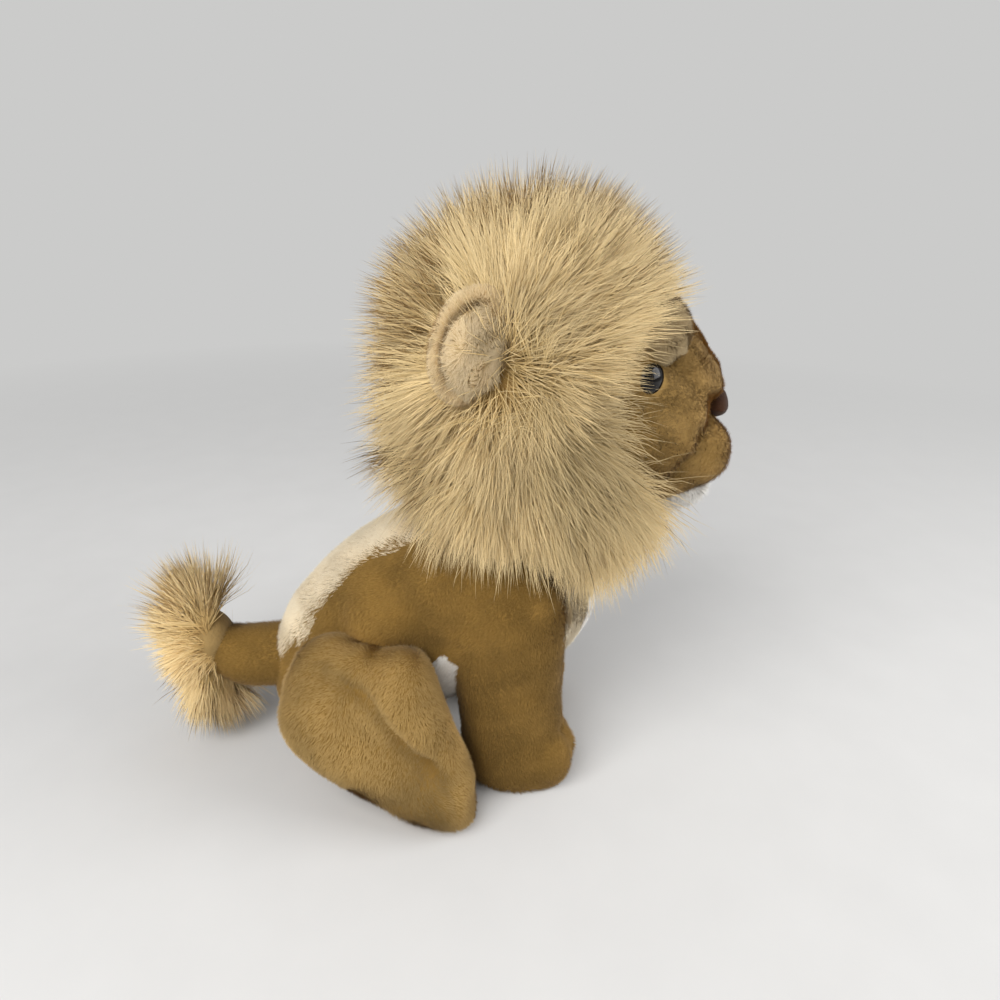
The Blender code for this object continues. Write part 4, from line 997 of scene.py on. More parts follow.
# Places on the finished surface, as out, ahead and up. The knee's are measured in profile.
knee_fold = place(
    0,
    np.array([-0.0092, -0.0003, 0.0101, 0.0181, 0.0238, 0.0297, 0.0387]),
    np.array([0.0779, 0.0744, 0.0703, 0.0632, 0.0538, 0.0434, 0.0356]),
)
knee_puff = place(0, np.array([0.022, 0.026, 0.029, 0.031]), np.array([0.070, 0.065, 0.060, 0.055]))
toe_fold = place(
    np.array([0.0654, 0.0675, 0.0700, 0.0715]),
    np.array([0.0387, 0.0450, 0.0480, 0.0490]),
    np.array([0.0356, 0.0275, 0.0230, 0.0170]),
)


def hind_nap(roots):
    """Down, out and a little back over the thigh, forward over the foot."""
    foot = rising(0.034 - roots[:, 2], 0.012) * (-roots[:, 1] > 0.005)
    return place(np.sign(roots[:, 0]) * 0.45, -0.45 + 1.3 * foot, -0.9 + 0.6 * foot)


def hind_shade(roots):
    """Painted shade in the knee's crease and low down; painted light on the knee's puff, the toes
    and a little all over.
    """
    out, ahead, up = by_sides(roots)
    crease = 0.42 * near_path(roots, knee_fold, 0.0040, IN_PROFILE) * (out > 0.05)
    puff = 0.42 * near_path(roots, knee_puff, 0.0095, IN_PROFILE) * (out > 0.055)
    toes, low = rising(ahead - 0.042, 0.008), rising(0.040 - up, 0.012)
    return crease - puff - 0.12 - 0.30 * toes + 0.48 * low


def hind_open(roots, facing):
    """Roots off the torso, off the floor and not on the underside."""
    return (roots[:, 2] > 0.0012) & (np.abs(roots[:, 0]) > 0.034) & (facing[:, 2] > -0.7)


for side, ending in SIDES:
    points, triangles = hind_leg_form(side)
    normals = point_normals(points, triangles)
    outer = rising(np.abs(points[:, 0]) - 0.050, 0.006)
    points = press(points, normals, knee_fold, 0.0036, 0.0034, IN_PROFILE, outer)
    points = press(points, normals, toe_fold * [side, 1, 1], 0.0030, 0.0022)
    points[:, 2] = np.maximum(points[:, 2], ON_FLOOR)
    dress(
        "hind_leg", ending, (points, triangles), (gold_skin, haunch_lit_fibre), "hind_leg" + ending,
        "gold_velour", ["haunch" + ending, "hind_foot" + ending], 0.8, 80000, hind_nap,
        31 if side > 0 else 32, keep=hind_open, dark=hind_shade,
    )

# %% [markdown]
# ## Tail and tuft
#
# The tail is a stuffed tube that hangs a little before it lifts, and its end is lost in a
# brush of long hair. The brush is a bundle of hair raised from a small bulb on the tail's
# end, spreading up and down.

# %% Tail form and pile
TAIL_AHEAD, TAIL_UP, TAIL_RADIUS, TAIL_RUN, TAIL_RISE = -0.0405, 0.045, 0.015, 0.038, 0.012
t = np.linspace(0, 1, 24)
tail_middles = place(0, TAIL_AHEAD - TAIL_RUN * t, TAIL_UP + TAIL_RISE * (t**3 - 0.35 * t))
tail_size = TAIL_RADIUS * (1 - 0.24 * t**2)
tail_tube = closed_tube("tail_tube", tail_middles, place(tail_size, 0, 0), place(0, 0, tail_size))
tail_ends = [ellipsoid("tail_end", tail_middles[end], (tail_size[end],) * 3) for end in (0, -1)]
tail_form = fused([tail_tube, *tail_ends], 0.0018, 4)
# Painted shade: the tail's pile is darker all over, and darker still at its end inside the tuft.
dress(
    "tail", "", tail_form, (gold_skin, gold_fibre), "tail", "gold_velour", ["tail"], 0.8, 26000,
    lambda roots: place(0, -1, -0.2), 41,
    dark=lambda roots: 0.12 + 0.45 * rising(roots[:, 1] - 0.062, 0.008),
)

# %% Tail tuft
tuft_middle, tuft_halves = place(0, -0.0740, 0.0485), np.array([0.0145, 0.0120, 0.0190])
tuft_bulb = ellipsoid("tuft_bulb", tuft_middle, tuft_halves, rows=40, sides=48)
tuft_points, tuft_triangles = evaluated(tuft_bulb)
bpy.data.objects.remove(tuft_bulb)
soft_skin(
    "tuft_bulb", tuft_points, tuft_triangles, mane_skin, "tail", "mane_fur", ["tail_tuft"], 0.9
)
normals = point_normals(tuft_points, tuft_triangles)
roots, facing, draw = scattered(tuft_points, tuft_triangles, normals, 27000, 43)
behind = roots[:, 1] > np.where(roots[:, 2] > 0.054, 0.0695, 0.0640)
roots, facing = roots[behind], facing[behind]
above = np.clip((roots[:, 2] - tuft_middle[2] - 0.002) / tuft_halves[2], -1, 1)
climb = np.radians(np.interp(above, [-1, -0.4, 0.0, 0.3, 0.6, 1], [-88, -74, -48, 5, 62, 74]))
fan = place(roots[:, 0] / tuft_halves[0] * 0.35, -np.cos(climb), np.sin(climb))
flow = unit(fan + 0.16 * waves(roots, 0.016, 45))
tuft_length = 0.016 + np.where(above > 0, 0.025, 0.014) * np.abs(above) ** 1.3
# Painted light: the tuft's shade of 0.86 makes its hair paler than the mane's, for its lit side.
tuft_hair = long_hair(
    "tuft_hair", roots, facing, flow, draw, tuft_length, 0.0004, np.full(len(roots), 0.05), 0.62,
    0.0085, 0.86, mane_fibre, 44, stray=0.22,
)
print("tuft hairs:", len(roots))
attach(tuft_hair, "tail")

# %% [markdown]
# ## Head
#
# The head is a stuffed skull that narrows to the bridge of the nose, with two muzzle pads
# under it. All are fused into one skin, because on the toy they are panels of one bag. The
# mouth, the fold between the pads and the folds beside the bridge are pressed in, as drawn
# thread does. Last the head is pinched beside the nose, and given a seat for it.

# %% Head form
HEAD_LENGTH, HEAD_HEIGHT, HEAD_WIDTH, HEAD_REAR, HEAD_UP = 0.131, 0.104, 0.098, 0.028, 0.184
head_rows = [
    (0.00, -0.030, 0.02, 0.02),
    (0.06, -0.025, 0.52, 0.52),
    (0.16, -0.010, 0.80, 0.83),
    (0.28, 0.000, 0.96, 0.97),
    (0.40, 0.000, 1.00, 1.00),
    (0.53, -0.008, 1.00, 0.94),
    (0.64, -0.033, 0.985, 0.86),
    (0.73, -0.054, 0.942, 0.77),
    (0.81, -0.082, 0.845, 0.68),
    (0.88, -0.121, 0.722, 0.60),
    (0.94, -0.156, 0.577, 0.48),
    (0.98, -0.158, 0.440, 0.34),
    (1.00, -0.130, 0.02, 0.02),
]
along, rise, tall, wide = between_rows(head_rows, 90).T
skull = closed_tube(
    "skull",
    place(0, HEAD_REAR + along * HEAD_LENGTH, HEAD_UP + rise * HEAD_HEIGHT),
    place(HEAD_WIDTH / 2 * wide, 0, 0),
    place(0, 0, HEAD_HEIGHT / 2 * tall),
    72,
)
pads = [
    ellipsoid("pad", place(side * 0.0115, 0.1472, 0.1575), (0.0123, 0.0152, 0.0155))
    for side in (1, -1)
]
bridge_rows = [
    (0.1325, 0.2125, 0.0010, 0.002),
    (0.1340, 0.2105, 0.0034, 0.008),
    (0.1420, 0.1985, 0.0055, 0.011),
    (0.1500, 0.1883, 0.0058, 0.010),
    (0.1552, 0.1822, 0.0046, 0.009),
    (0.1574, 0.1800, 0.0034, 0.007),
    (0.1586, 0.1790, 0.0008, 0.001),
]
ahead, up, deep, wide = between_rows(bridge_rows, 30).T
bridge_up = place(0, 0.786, 0.619) * deep[:, None]
bridge = closed_tube("bridge", place(0, ahead, up), place(wide, 0, 0), bridge_up, 36)
head_points, head_triangles = fused([skull, *pads, bridge], 0.0014, 7)
head_normals = point_normals(head_points, head_triangles)
between_pads = place(
    0, np.array([0.1600, 0.1655, 0.1640, 0.1560]), np.array([0.170, 0.162, 0.152, 0.1445])
)
head_points = press(head_points, head_normals, between_pads, 0.0026, 0.0034)
face_folds = []
for side in (1, -1):
    mouth = place(
        side * 0.0245,
        np.array([0.1486, 0.1475, 0.1474, 0.1464, 0.1424, 0.1394, 0.1364]),
        np.array([0.1700, 0.1670, 0.1640, 0.1606, 0.1572, 0.1526, 0.1480]),
    )
    beside_bridge = place(
        side * 0.0240,
        np.array([0.1300, 0.1334, 0.1376, 0.1418, 0.1449, 0.1480]),
        np.array([0.1988, 0.1958, 0.1927, 0.1892, 0.1857, 0.1829]),
    )
    outer = rising(side * head_points[:, 0] - 0.008, 0.006)
    head_points = press(head_points, head_normals, mouth, 0.0040, 0.0024, IN_PROFILE, outer)
    head_points = press(head_points, head_normals, beside_bridge, 0.0044, 0.0014, IN_PROFILE, outer)
    face_folds += [mouth, beside_bridge]
NOSE_SEAT_UP = 0.1752
level_with_nose = np.exp(-(((head_points[:, 2] - NOSE_SEAT_UP) / 0.0075) ** 4))
pinch = level_with_nose * rising(-head_points[:, 1] - 0.1470, 0.0055)
head_points[:, 0] *= 1 - 0.50 * pinch
off_seat = (head_points[:, 0] / 0.0150) ** 2 + ((head_points[:, 2] - NOSE_SEAT_UP) / 0.0068) ** 2
head_points[:, 1] += 0.0036 * np.exp(-(off_seat**2)) * (head_points[:, 1] < -0.145)
print("head skin triangles:", len(head_triangles))

# %% Head pile
FACE_MIDDLE, FACE_HALVES = place(0, 0.170, 0.178), np.array([0.120, 0.059, 0.056])
EYE_PLACE = {side: place(side * 0.0330, 0.1215, 0.1925) for side in (1, -1)}
EYE_AXIS = {side: unit(place(side * 1.0, 1.0, 0)) for side in (1, -1)}


def head_nap(roots):
    """From the nose up and back, spreading round the cheeks and down over the muzzle."""
    return unit(roots - place(0, 0.165, 0.172)) + place(0, -0.5, 0.1)


def face_open(roots, facing):
    """Roots in front of the mane and clear of the eyes and the nose."""
    ahead = -roots[:, 1]
    clear = np.ones(len(roots), bool)
    for side in (1, -1):
        off = roots - EYE_PLACE[side]
        along_axis = off @ EYE_AXIS[side]
        clear &= np.linalg.norm(off - along_axis[:, None] * EYE_AXIS[side], axis=1) > 0.0052
    nose = inside(roots, place(0, 0.157, 0.1755), (0.0105, 0.0070, 0.0060))
    return clear & ~nose & (ahead > 0.085)


def face_shade(roots):
    """Painted shade in the folds and beside the mane, painted light on the muzzle and bridge."""
    out, ahead, up = by_sides(roots)
    mouth_dark = near_path(roots, face_folds[0], 0.0034, IN_PROFILE) * (out > 0.010)
    beside_dark = near_path(roots, face_folds[1], 0.0028, IN_PROFILE) * (out > 0.010)
    muzzle = rising(ahead - 0.144, 0.008)
    bridge_top = rising(up - 0.222 + (ahead - 0.118), 0.008)
    cheek = rising(0.147 - ahead, 0.014) * rising(0.200 - up, 0.010)
    pale = np.maximum(muzzle, bridge_top)
    return 0.28 * mouth_dark + 0.12 * beside_dark - 0.40 * pale + 0.50 * cheek


dress(
    "head", "", (head_points, head_triangles), (face_skin, face_fibre), "head", "gold_velour",
    ["head", "muzzle_left", "muzzle_right"], 0.9, 200000, head_nap, 51,
    keep=face_open, length=0.0024, lift=34, dark=face_shade,
)

# %% [markdown]
# ## Nose, lip thread, chin and brows
#
# The nose is a small cushion, widest at its middle and flatter above than below. The chin
# is a tuft of white fluff under the mouth. Each brow is a pale patch with longer pile that
# hangs over the eye.

# %% Nose
NOSE_AHEAD, NOSE_UP, NOSE_HALVES = 0.1566, 0.1754, (0.0122, 0.0052, 0.0064)
climb = np.linspace(0, np.pi, 30)
above = -np.cos(climb)
nose_size = np.maximum(np.sin(climb), 0.001) ** 0.6
taper = np.interp(above, [-1, -0.6, -0.1, 0.5, 1], [0.35, 0.72, 1.0, 0.88, 0.70])
nose_wide = NOSE_HALVES[0] * taper * nose_size
nose_form = closed_tube(
    "nose_form",
    place(0, NOSE_AHEAD - 0.0004 * above, NOSE_UP + above * NOSE_HALVES[2]),
    place(nose_wide, 0, 0),
    place(0, NOSE_HALVES[1] * nose_size, 0),
    48,
)
dress(
    "nose", "", fused([nose_form], 0.0007, 4), (nose_skin, nose_fibre), "head", "nose_fabric",
    ["nose"], 0.9, 9000, lambda roots: place(roots[:, 0] * 60, 0, -1), 53,
    length=0.0009, lift=30, width=0.0003, keep=lambda roots, facing: -roots[:, 1] > 0.150,
)


# %% Lip thread
def thread(name, path, radius, material, body):
    """A round thread along a smooth path: rings square to the path."""
    path = between_rows(path, PATH_STEPS)
    ahead = unit(np.gradient(path, axis=0))
    side = unit(np.cross(ahead, [0.3, 0.2, 1.0]))
    lift = np.cross(ahead, side)
    obj = closed_tube(name, path, side * radius, lift * radius, 10)
    obj.data.materials.append(material)
    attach(obj, body)
    return obj


def onto_surface(path, points, normals, off):
    """Each point of a smooth path moved to the nearest skin point and off along its normal."""
    path = between_rows(path, 24)
    nearest = np.linalg.norm(points[:, None] - path[None], axis=-1).argmin(axis=0)
    landed = points[nearest] + normals[nearest] * off
    softened = landed.copy()
    for _ in range(4):
        softened[1:-1] = (softened[:-2] + 2 * softened[1:-1] + softened[2:]) / 4
    return softened


thread_finish = skin_finish("thread_finish", (62, 44, 30), 0.7, 2500.0, 0.0002)
head_normals = point_normals(head_points, head_triangles)
lip_path = onto_surface(between_pads, head_points, head_normals, 0.0006)
thread("lip_thread", lip_path, 0.0005, thread_finish, "head")

# %% Chin and brows
chin_form = ellipsoid("chin_form", place(0, 0.1425, 0.1398), (0.0135, 0.0138, 0.0095))
dress(
    "chin", "", fused([chin_form], 0.001, 3), (white_skin, white_fibre), "head", "white_plush",
    ["chin"], 0.9, 9000, lambda roots: place(roots[:, 0] * 20, -0.3, -1), 55,
    length=0.0050, lift=50, width=0.00040, stir=0.7,
)
brow_fibre = fibre_finish(
    "brow_fibre", ((146, 123, 84), (160, 138, 99), (178, 157, 120)), 0.12, 0.08
)
for side, ending in SIDES:
    brow_forms = [
        ellipsoid("brow_form", place(side * 0.0225, 0.1278, 0.2090), (0.0090, 0.0098, 0.0125)),
        ellipsoid("brow_lid", place(side * 0.0270, 0.1240, 0.2055), (0.0078, 0.0090, 0.0090)),
    ]
    dress(
        "brow", ending, fused(brow_forms, 0.001, 12), (ear_skin, brow_fibre), "head",
        "pale_velour", ["brow" + ending], 0.9, 17000,
        lambda roots, side=side: unit(place(side * 0.5, 0.5, -0.7)),
        57 if side > 0 else 58, length=0.0026, lift=48, stir=0.5, stir_size=0.008, width=0.00036,
        keep=lambda roots, facing: -roots[:, 1] > 0.112,
    )

# %% [markdown]
# ## Eyes
#
# Each eye is a moulded dome on a shank that the washer grips inside the head. A turned
# profile makes it: distance along the axis against radius. Its finish is a clear, smooth
# coat over near-black plastic, so the lamp shows in it as a small highlight.


# %% Eye domes
def plain_finish(name, colour, roughness, coat=0.0):
    """Moulded plastic with slight unevenness from noise."""
    material, add, join, shader = new_finish(name, roughness, specular=0.15)
    stops = ((0.3, scaled_colour(linear(colour), 0.8)), (0.7, linear(colour)))
    join(add_ramp(add, join, add_noise(add, join, 150.0), stops), shader.inputs["Base Color"])
    shader.inputs["Coat Weight"].default_value = coat
    shader.inputs["Coat Roughness"].default_value = 0.03
    return material


eye_finish = plain_finish("eye_finish", (14, 11, 10), 0.14, 0.2)
washer_finish = plain_finish("washer_finish", (214, 212, 206), 0.4)
SHANK_RADIUS, EYE_RADIUS, EYE_HEIGHT = 0.0021, 0.0073, 0.0052
quarter = np.linspace(0, np.pi / 2, 18)
shank_rows = [
    (-0.0125, 0.0002),
    (-0.0125, SHANK_RADIUS),
    (-0.0028, SHANK_RADIUS),
    (-0.0025, 0.0066),
    (-0.0020, 0.0072),
    (-0.0006, EYE_RADIUS),
]
dome_radius = EYE_RADIUS * np.maximum(np.cos(quarter), 0.01)
dome_rows = np.stack([EYE_HEIGHT * np.sin(quarter), dome_radius], axis=-1)
eye_along, eye_radius = np.concatenate([shank_rows, dome_rows]).T
for side, ending in SIDES:
    axis = EYE_AXIS[side]
    sideways = unit(np.cross(axis, [0, 0, 1]))
    middles = EYE_PLACE[side] + axis * eye_along[:, None]
    eye = closed_tube(
        "eye_dome" + ending, middles, sideways * eye_radius[:, None], place(0, 0, eye_radius)
    )
    eye.data.materials.append(eye_finish)
    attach(eye, "head")
    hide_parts("eye" + ending)
    for washer_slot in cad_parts["eye_washer" + ending].material_slots:
        washer_slot.material = washer_finish
print("eye domes: 2, each", round(2000 * EYE_RADIUS, 1), "mm wide")

# %% [markdown]
# ## Ears
#
# An ear is two layers sewn together and gathered at the root, so its rim is a thick roll
# and its middle a dish lined with cream plush. Each layer is a profile, share of the rim
# against height, carried round an ellipse. The back is then bent: its front rim is lowered
# and tucked into the mane.


# %% Ear forms
EAR_AHEAD_HALF, EAR_UP_HALF = 0.0142, 0.0205


def ear_middle(side):
    """The middle of an ear's dish."""
    return place(side * 0.0500, 0.0560, 0.2075)


def ear_axes(side):
    """Thickness, length ahead and height of an ear, leaning and flared as in the CAD part."""
    lean = Matrix.Rotation(math.radians(16), 3, "X")
    flare = Matrix.Rotation(-side * math.radians(16), 3, "Z")
    return np.array(flare @ lean)


def from_ear(side, out, ahead, up):
    """Points told in the ear's own axes."""
    return ear_middle(side) + place(side * np.asarray(out, float), ahead, up) @ ear_axes(side).T


def ear_form(side, rows, count, sides, ahead=0.0, up=0.0):
    """Rings of a profile's share of the ear's half axes, each raised by its height."""
    share, height = between_rows(rows, count).T
    axes = ear_axes(side)
    return closed_tube(
        "ear_form",
        from_ear(side, height, ahead, up),
        axes[:, 1] * (EAR_AHEAD_HALF * share)[:, None],
        axes[:, 2] * (EAR_UP_HALF * share)[:, None],
        sides,
    )


ear_rows = [
    (0.02, 0.0002),
    (0.35, 0.0002),
    (0.58, 0.0004),
    (0.72, 0.0014),
    (0.84, 0.0028),
    (0.93, 0.0026),
    (1.00, 0.0010),
    (0.99, -0.0012),
    (0.90, -0.0030),
    (0.70, -0.0042),
    (0.40, -0.0048),
    (0.02, -0.0050),
]
lining_rows = [
    (0.02, 0.0030),
    (0.30, 0.0028),
    (0.52, 0.0022),
    (0.66, 0.0017),
    (0.74, 0.0018),
    (0.78, 0.0014),
    (0.60, -0.0002),
    (0.02, -0.0006),
]


def rim_shade(off):
    """Painted shade where the lining meets the roll of the rim, from places told off the ear's
    middle.
    """
    share = np.linalg.norm(off[:, 1:] / [EAR_AHEAD_HALF, EAR_UP_HALF], axis=1)
    return 0.35 * rising(share - 0.62, 0.12)


for side, ending in SIDES:
    axes, middle = ear_axes(side), ear_middle(side)
    form = ear_form(side, ear_rows, 60, 72)
    root = ellipsoid("root", from_ear(side, -0.003, 0.0085, -0.006), (0.0040, 0.0050, 0.0120), axes)
    points, triangles = fused([form, root], 0.0010, 3)
    local = (points - middle) @ axes
    toward_face = rising(-local[:, 1] / EAR_AHEAD_HALF - 0.05, 0.6)
    raised = np.clip(side * local[:, 0], 0, None)
    tucked = toward_face * np.clip(0.4 - local[:, 2] / EAR_UP_HALF, 0, 1)
    lowered = (0.75 * raised * toward_face + 0.004 * tucked)[:, None]
    points = points - axes[:, 0] * side * lowered
    dress(
        "ear", ending, (points, triangles), (ear_skin, ear_fibre), "ear" + ending, "gold_velour",
        ["ear_back" + ending], 0.6, 26000,
        lambda roots, middle=middle: unit(roots - middle) + place(0, -0.3, -0.4),
        61 if side > 0 else 62, length=0.0026,
    )
    lining = fused([ear_form(side, lining_rows, 40, 60, 0.0012, -0.0008)], 0.0008, 2)
    dress(
        "ear_lining", ending, lining, (ear_skin, lining_fibre), "ear" + ending, "cream_plush",
        ["ear_lining" + ending], 0.4, 12000, lambda roots: place(0, -0.6, -0.6),
        63 if side > 0 else 64, length=0.0042, stir=1.0, stir_size=0.010, lift=52,
        dark=lambda roots, middle=middle: rim_shade(roots - middle),
    )

# %% [markdown]
# ## Mane
#
# The mane is cut from long-pile fur in five panels: crown, back, two sides and the ruff
# under the chin. Each panel's hair grows from a cloth shell round the head. On the toy the
# hair radiates from the root of the ear, hangs at the sides and stands up on the crown.
# Places on the shell are told as turn, the share of a turn about the head from straight
# ahead and up, and out, from -1 at one side to 1 at the other.


# %% Mane shell
MANE_MIDDLE = place(0, 0.0796, 0.184)
MANE_RADIUS, MANE_HALF_WIDTH, SHELL_DEPTH = 0.0790, 0.0675, 0.70
MANE_ROUND = 0.92  # below 1, the shell's section is fuller than an ellipse
SIDE_SEAM = 0.55  # how far out the side panels begin
SHELL_TURNS, SHELL_ROWS = 96, 65
mane_rows = np.array([
    (0.100, 0.800), (0.145, 0.905), (0.195, 0.975), (0.247, 1.000), (0.344, 0.940), (0.417, 0.870),
    (0.500, 0.815), (0.570, 0.880), (0.617, 1.030), (0.700, 1.200), (0.800, 1.315), (0.872, 1.205),
    (0.940, 1.080), (1.100, 0.800),
])


def mane_reach(turn):
    """The mane's radius in the middle plane at a share of a turn from straight ahead."""
    turn = (turn - 0.1) % 1 + 0.1
    return MANE_RADIUS * np.interp(turn, mane_rows[:, 0], mane_rows[:, 1])


def mane_surface(turn, out, depth):
    """Reach shrinks with the cosine of the lean to the side, and the side grows with its sine."""
    lean = out * np.pi / 2
    reach = mane_reach(turn) * np.maximum(np.cos(lean), 0) ** MANE_ROUND
    side = MANE_HALF_WIDTH * np.abs(np.sin(lean)) ** MANE_ROUND * np.sign(lean)
    angle = 2 * np.pi * turn
    return MANE_MIDDLE + depth * place(side, reach * np.cos(angle), reach * np.sin(angle))


def mane_region(points):
    """Turn and out shares of points, back from their directions."""
    off = points - MANE_MIDDLE
    turn = (np.arctan2(off[:, 2], -off[:, 1]) / (2 * np.pi)) % 1
    share = np.clip(np.abs(off[:, 0]) / (MANE_HALF_WIDTH * SHELL_DEPTH), 0, 1) ** (1 / MANE_ROUND)
    return turn, np.arcsin(share) / (np.pi / 2) * np.sign(off[:, 0])


shell_turns = np.linspace(0, 1, SHELL_TURNS + 1)[:-1]
shell_outs = np.linspace(-0.995, 0.995, SHELL_ROWS)
shell_grid = mane_surface(*np.meshgrid(shell_turns, shell_outs), SHELL_DEPTH)
shell_poles = [shell_grid[0].mean(0)[None], shell_grid[-1].mean(0)[None]]
shell_points = np.concatenate([shell_grid.reshape(-1, 3), *shell_poles])
ring, next_ring = np.arange(SHELL_TURNS), (np.arange(SHELL_TURNS) + 1) % SHELL_TURNS
quads = grid_faces(SHELL_ROWS, SHELL_TURNS, round_rows=True)
last = (SHELL_ROWS - 1) * SHELL_TURNS
low_pole, high_pole = (np.full(SHELL_TURNS, len(shell_points) - back) for back in (2, 1))
cap_low = np.stack([low_pole, next_ring, ring], axis=-1)
cap_high = np.stack([high_pole, last + ring, last + next_ring], axis=-1)
shell_triangles = np.concatenate([quads[:, [0, 1, 2]], quads[:, [0, 2, 3]], cap_low, cap_high])
a, b, c = np.moveaxis(shell_points[shell_triangles] - MANE_MIDDLE, 1, 0)
if np.einsum("ij,ij->i", a, np.cross(b, c)).sum() < 0:
    shell_triangles = shell_triangles[:, ::-1]
shell_normals = point_normals(shell_points, shell_triangles)
soft_skin("mane_shell", shell_points, shell_triangles, mane_skin, "head", "mane_fur", [], 0.9)
print("mane shell triangles:", len(shell_triangles))


# %% Mane hair
clear_places = [
    (FACE_MIDDLE, FACE_HALVES * [9, 1, 1]),
    (place(0, 0.1420, 0.2080), np.array([1.0, 0.0235, 0.0200])),
    (place(0, 0.1520, 0.1330), np.array([1.0, 0.0230, 0.0170])),
]


def bare(roots):
    """Roots that the mane leaves out: the face, the ears' footprints and the shoulders."""
    face = sum(inside(roots, middle, halves) for middle, halves in clear_places) > 0
    ears = np.zeros(len(roots), bool)
    for side in (1, -1):
        local = (roots - ear_middle(side)) @ ear_axes(side)
        footprint = ((local[:, 1] - 0.003) / 0.0100) ** 2 + ((local[:, 2] - 0.002) / 0.0155) ** 2
        ears |= (side * local[:, 0] > -0.030) & (footprint < 1)
    shoulders = np.linalg.norm(roots - NECK, axis=1) < 0.050
    return face | ears | shoulders


def mane_flow(roots, facing, out):
    """Away from the ear's root at the sides; up and forward on the crown; out at the back."""
    ear_root = place(np.where(roots[:, 0] >= 0, 0.046, -0.046), 0.0640, 0.199)
    away = (roots - ear_root) * [0.35, 1, 1]
    near_middle = np.clip(1 - np.abs(out) / SIDE_SEAM, 0, 1)
    top = rising(roots[:, 2] - 0.200, 0.035)
    behind = rising(roots[:, 1] + 0.055, 0.03) * (1 - top)
    low = rising(0.170 - roots[:, 2], 0.045)
    source = bell(np.linalg.norm((roots - ear_root)[:, 1:], axis=1), 0.016)
    above_eye = rising(roots[:, 2] - 0.192, 0.016)
    by_brow = rising(-roots[:, 1] - 0.082, 0.020)
    lift = 0.40 + 0.18 * top + 0.42 * near_middle * top + 0.35 * behind - 0.10 * low + 0.25 * source
    flow = along_skin(away, facing) + facing * lift[:, None]
    flow += place(0, 0.35, 0.15) * (near_middle * top)[:, None]
    flow += place(0, 0.15, -0.70) * low[:, None]
    flow += place(0, 0.25, 0.70) * (above_eye * by_brow)[:, None]
    return unit(flow)


def kept_off_face(roots, flow, length, draw):
    """Lengths cut, by halving the doubt six times, so that the tips stay off the face."""
    stray = draw.random(len(roots)) < 0.03
    room = np.where(stray, 0.78, draw.uniform(0.94, 1.08, len(roots)))[:, None]
    low, high = np.zeros(len(roots)), np.ones(len(roots))
    for _ in range(6):
        share = (low + high) / 2
        tips = roots + flow * (length * share)[:, None]
        over = sum(inside(tips, middle, halves * room) for middle, halves in clear_places) > 0
        low, high = np.where(over, low, share), np.where(over, share, high)
    return length * np.where(low > 0.98, 1, low)


SHELL_ROOTS = 210000
MOST_HAIRS = 28400  # seven triangles each, so a panel stays under 200,000


def seam(turn):
    """Where the side panels begin: nearer the middle below the back of the head."""
    return np.where((turn > 0.656) & (turn < 0.8125), 0.30, SIDE_SEAM)


def middle_panel(start, end):
    """A panel between two turns that reaches to the side seams."""
    return lambda turn, out: (turn > start) & (turn <= end) & (np.abs(out) <= SIDE_SEAM)


mane_pieces = {
    "crown": middle_panel(0.095, 0.365),
    "back": middle_panel(0.365, 0.656),
    "ruff": middle_panel(0.8125, 0.985),
    "side_left": lambda turn, out: out > seam(turn),
    "side_right": lambda turn, out: -out > seam(turn),
}
roots, facing, _ = scattered(shell_points, shell_triangles, shell_normals, SHELL_ROOTS, 71)
kept = ~bare(roots)
roots, facing = roots[kept], facing[kept]
turn, out = mane_region(roots)
for number, (name, region) in enumerate(mane_pieces.items()):
    chosen = np.flatnonzero(region(turn, out))
    here, normal = roots[chosen], facing[chosen]
    draw = np.random.default_rng(80 + number)
    low = rising(0.165 - here[:, 2], 0.05)
    top = rising(here[:, 2] - 0.205, 0.03)
    droop = 0.05 + 0.20 * low
    stirred = 0.30 * waves(here, 0.036, 90) + 0.24 * waves(here, 0.013, 93)
    flow = unit(mane_flow(here, normal, out[chosen]) + stirred)
    length = kept_off_face(here, flow, 0.034 + 0.008 * low - 0.002 * top, draw)
    grown = np.flatnonzero(length > 0.007)
    print(name, "roots:", len(chosen), "hairs:", len(grown))
    grown = grown[:MOST_HAIRS]
    here, normal, flow = here[grown], normal[grown], flow[grown]
    droop, length = droop[grown], length[grown]
    # Painted shade: the hair by the cheek is darker, in the hollow between the mane and the face.
    by_cheek = ((-here[:, 1] - 0.096) / 0.020) ** 2 + ((here[:, 2] - 0.172) / 0.020) ** 2
    shade = 0.56 + 0.12 * waves(here, 0.02, 91)[:, 0] - 0.75 * np.exp(-by_cheek)
    hair = long_hair(
        "mane_hair_" + name, here, normal, flow, draw, length, 0.00034, droop, 0.30, 0.0056, shade,
        mane_fibre, 100 + number,
    )
    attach(hair, "head")
    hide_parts("mane_" + name)

# %% [markdown]
# ## Floor, backdrop and lamps
#
# A pale plain floor keeps the toy's shadow. Far from the toy it turns into the same pale
# grey as the world behind it, so no horizon shows. A large soft lamp shines from above and
# behind, a weaker one from the front, and the world fills the shadows.

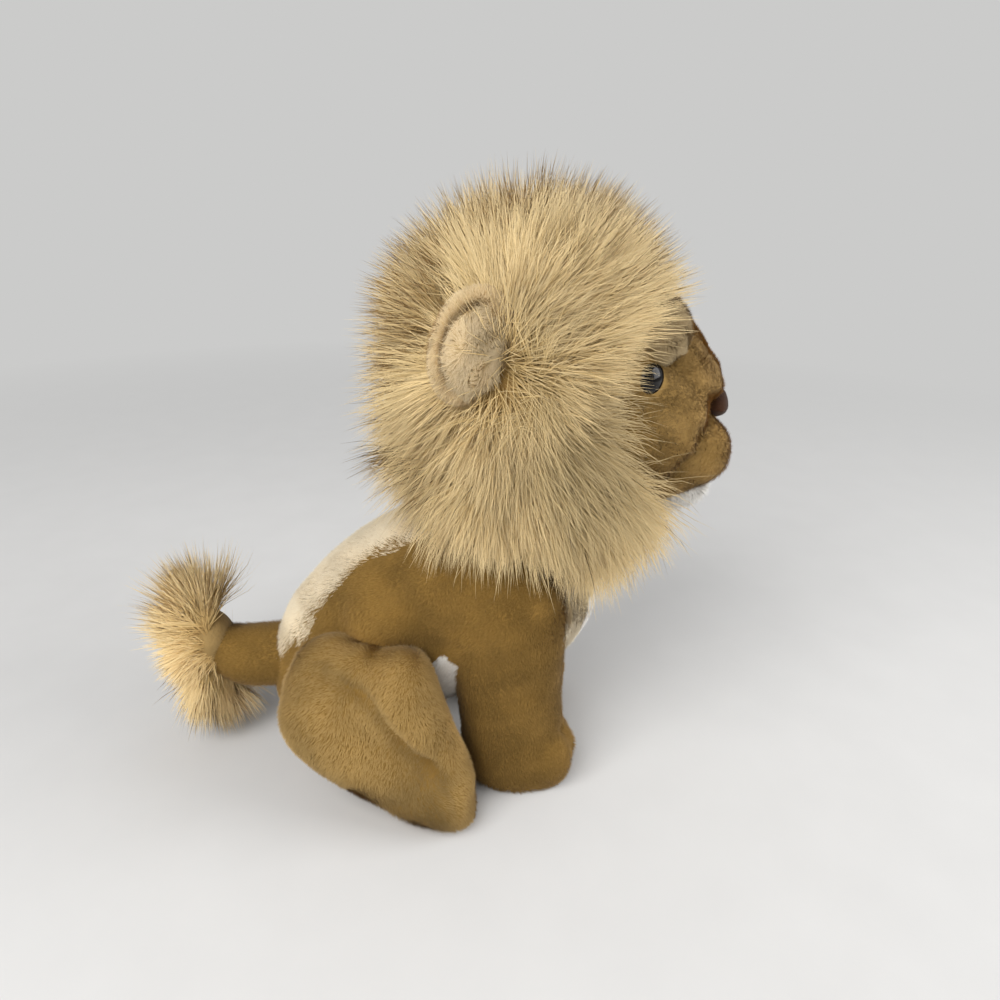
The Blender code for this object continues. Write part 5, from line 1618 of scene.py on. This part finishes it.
# %% Floor and world
backdrop_colour = linear((203, 203, 202))
FLOOR_REACH, FLOOR_LINES = 12, 49
floor_material, add, join, floor_shader = new_finish("floor_paper", 0.9, 0.0, 0.1)
paper_stops = ((0.0, linear((211, 210, 208))), (1.0, linear((217, 216, 214))))
paper = add_ramp(add, join, add_noise(add, join, 30.0), paper_stops)
join(paper, floor_shader.inputs["Base Color"])
coordinates = add("ShaderNodeTexCoord")
distance = add("ShaderNodeVectorMath", operation="LENGTH")
join(coordinates.outputs["Object"], distance.inputs[0])
far = add_range(add, join, distance.outputs["Value"], 0.0, 1.0, 0.30, 1.0)
rays = add("ShaderNodeLightPath")
seen = add("ShaderNodeMath", operation="MULTIPLY")
join(far, seen.inputs[0])
join(rays.outputs["Is Camera Ray"], seen.inputs[1])
glow = add("ShaderNodeEmission")
glow.inputs["Color"].default_value = backdrop_colour
mix = add("ShaderNodeMixShader")
join(seen.outputs["Value"], mix.inputs["Fac"])
join(floor_shader.outputs["BSDF"], mix.inputs[1])
join(glow.outputs["Emission"], mix.inputs[2])
join(mix.outputs["Shader"], floor_material.node_tree.nodes["Material Output"].inputs["Surface"])
floor_lines = np.linspace(-FLOOR_REACH, FLOOR_REACH, FLOOR_LINES)
across, along = np.meshgrid(floor_lines, floor_lines)
floor_points = np.stack([across, along, 0 * along], axis=-1).reshape(-1, 3)
floor = object_from("floor", floor_points, grid_faces(FLOOR_LINES, FLOOR_LINES), floor_material)
floor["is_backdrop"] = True

world = bpy.data.worlds.new("world")
bpy.context.scene.world = world
world.use_nodes = True
nodes, links = world.node_tree.nodes, world.node_tree.links
fill = nodes["Background"]
fill.inputs["Color"].default_value = (0.97, 0.98, 1.0, 1.0)
fill.inputs["Strength"].default_value = 0.42
seen_world = nodes.new("ShaderNodeBackground")
seen_world.inputs["Color"].default_value = backdrop_colour
seen_world.inputs["Strength"].default_value = 1.0
world_rays = nodes.new("ShaderNodeLightPath")
world_mix = nodes.new("ShaderNodeMixShader")
links.new(world_rays.outputs["Is Camera Ray"], world_mix.inputs["Fac"])
links.new(fill.outputs["Background"], world_mix.inputs[1])
links.new(seen_world.outputs["Background"], world_mix.inputs[2])
links.new(world_mix.outputs["Shader"], nodes["World Output"].inputs["Surface"])


# %% Lamps
def add_lamp(name, where, aim, size, power):
    """A square area lamp at a place, turned to face an aim."""
    data = bpy.data.lights.new(name, "AREA")
    data.size = size
    data.energy = power
    lamp = bpy.data.objects.new(name, data)
    lamp.location = where
    lamp.rotation_euler = (Vector(aim) - Vector(where)).to_track_quat("-Z", "Y").to_euler()
    bpy.context.scene.collection.objects.link(lamp)


add_lamp("window", (-0.90, 0.50, 0.95), (0, -0.02, 0.10), 1.0, 18.0)
add_lamp("front_fill", (-0.15, -1.1, 0.60), (0, -0.08, 0.14), 0.8, 8.5)
bpy.context.scene.view_settings.view_transform = "Standard"

# %% [markdown]
# ## Finish
#
# The size of the dressed toy is printed in millimetres.

low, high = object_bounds()
print("visual box in mm:", [round(1000 * side, 1) for side in high - low])
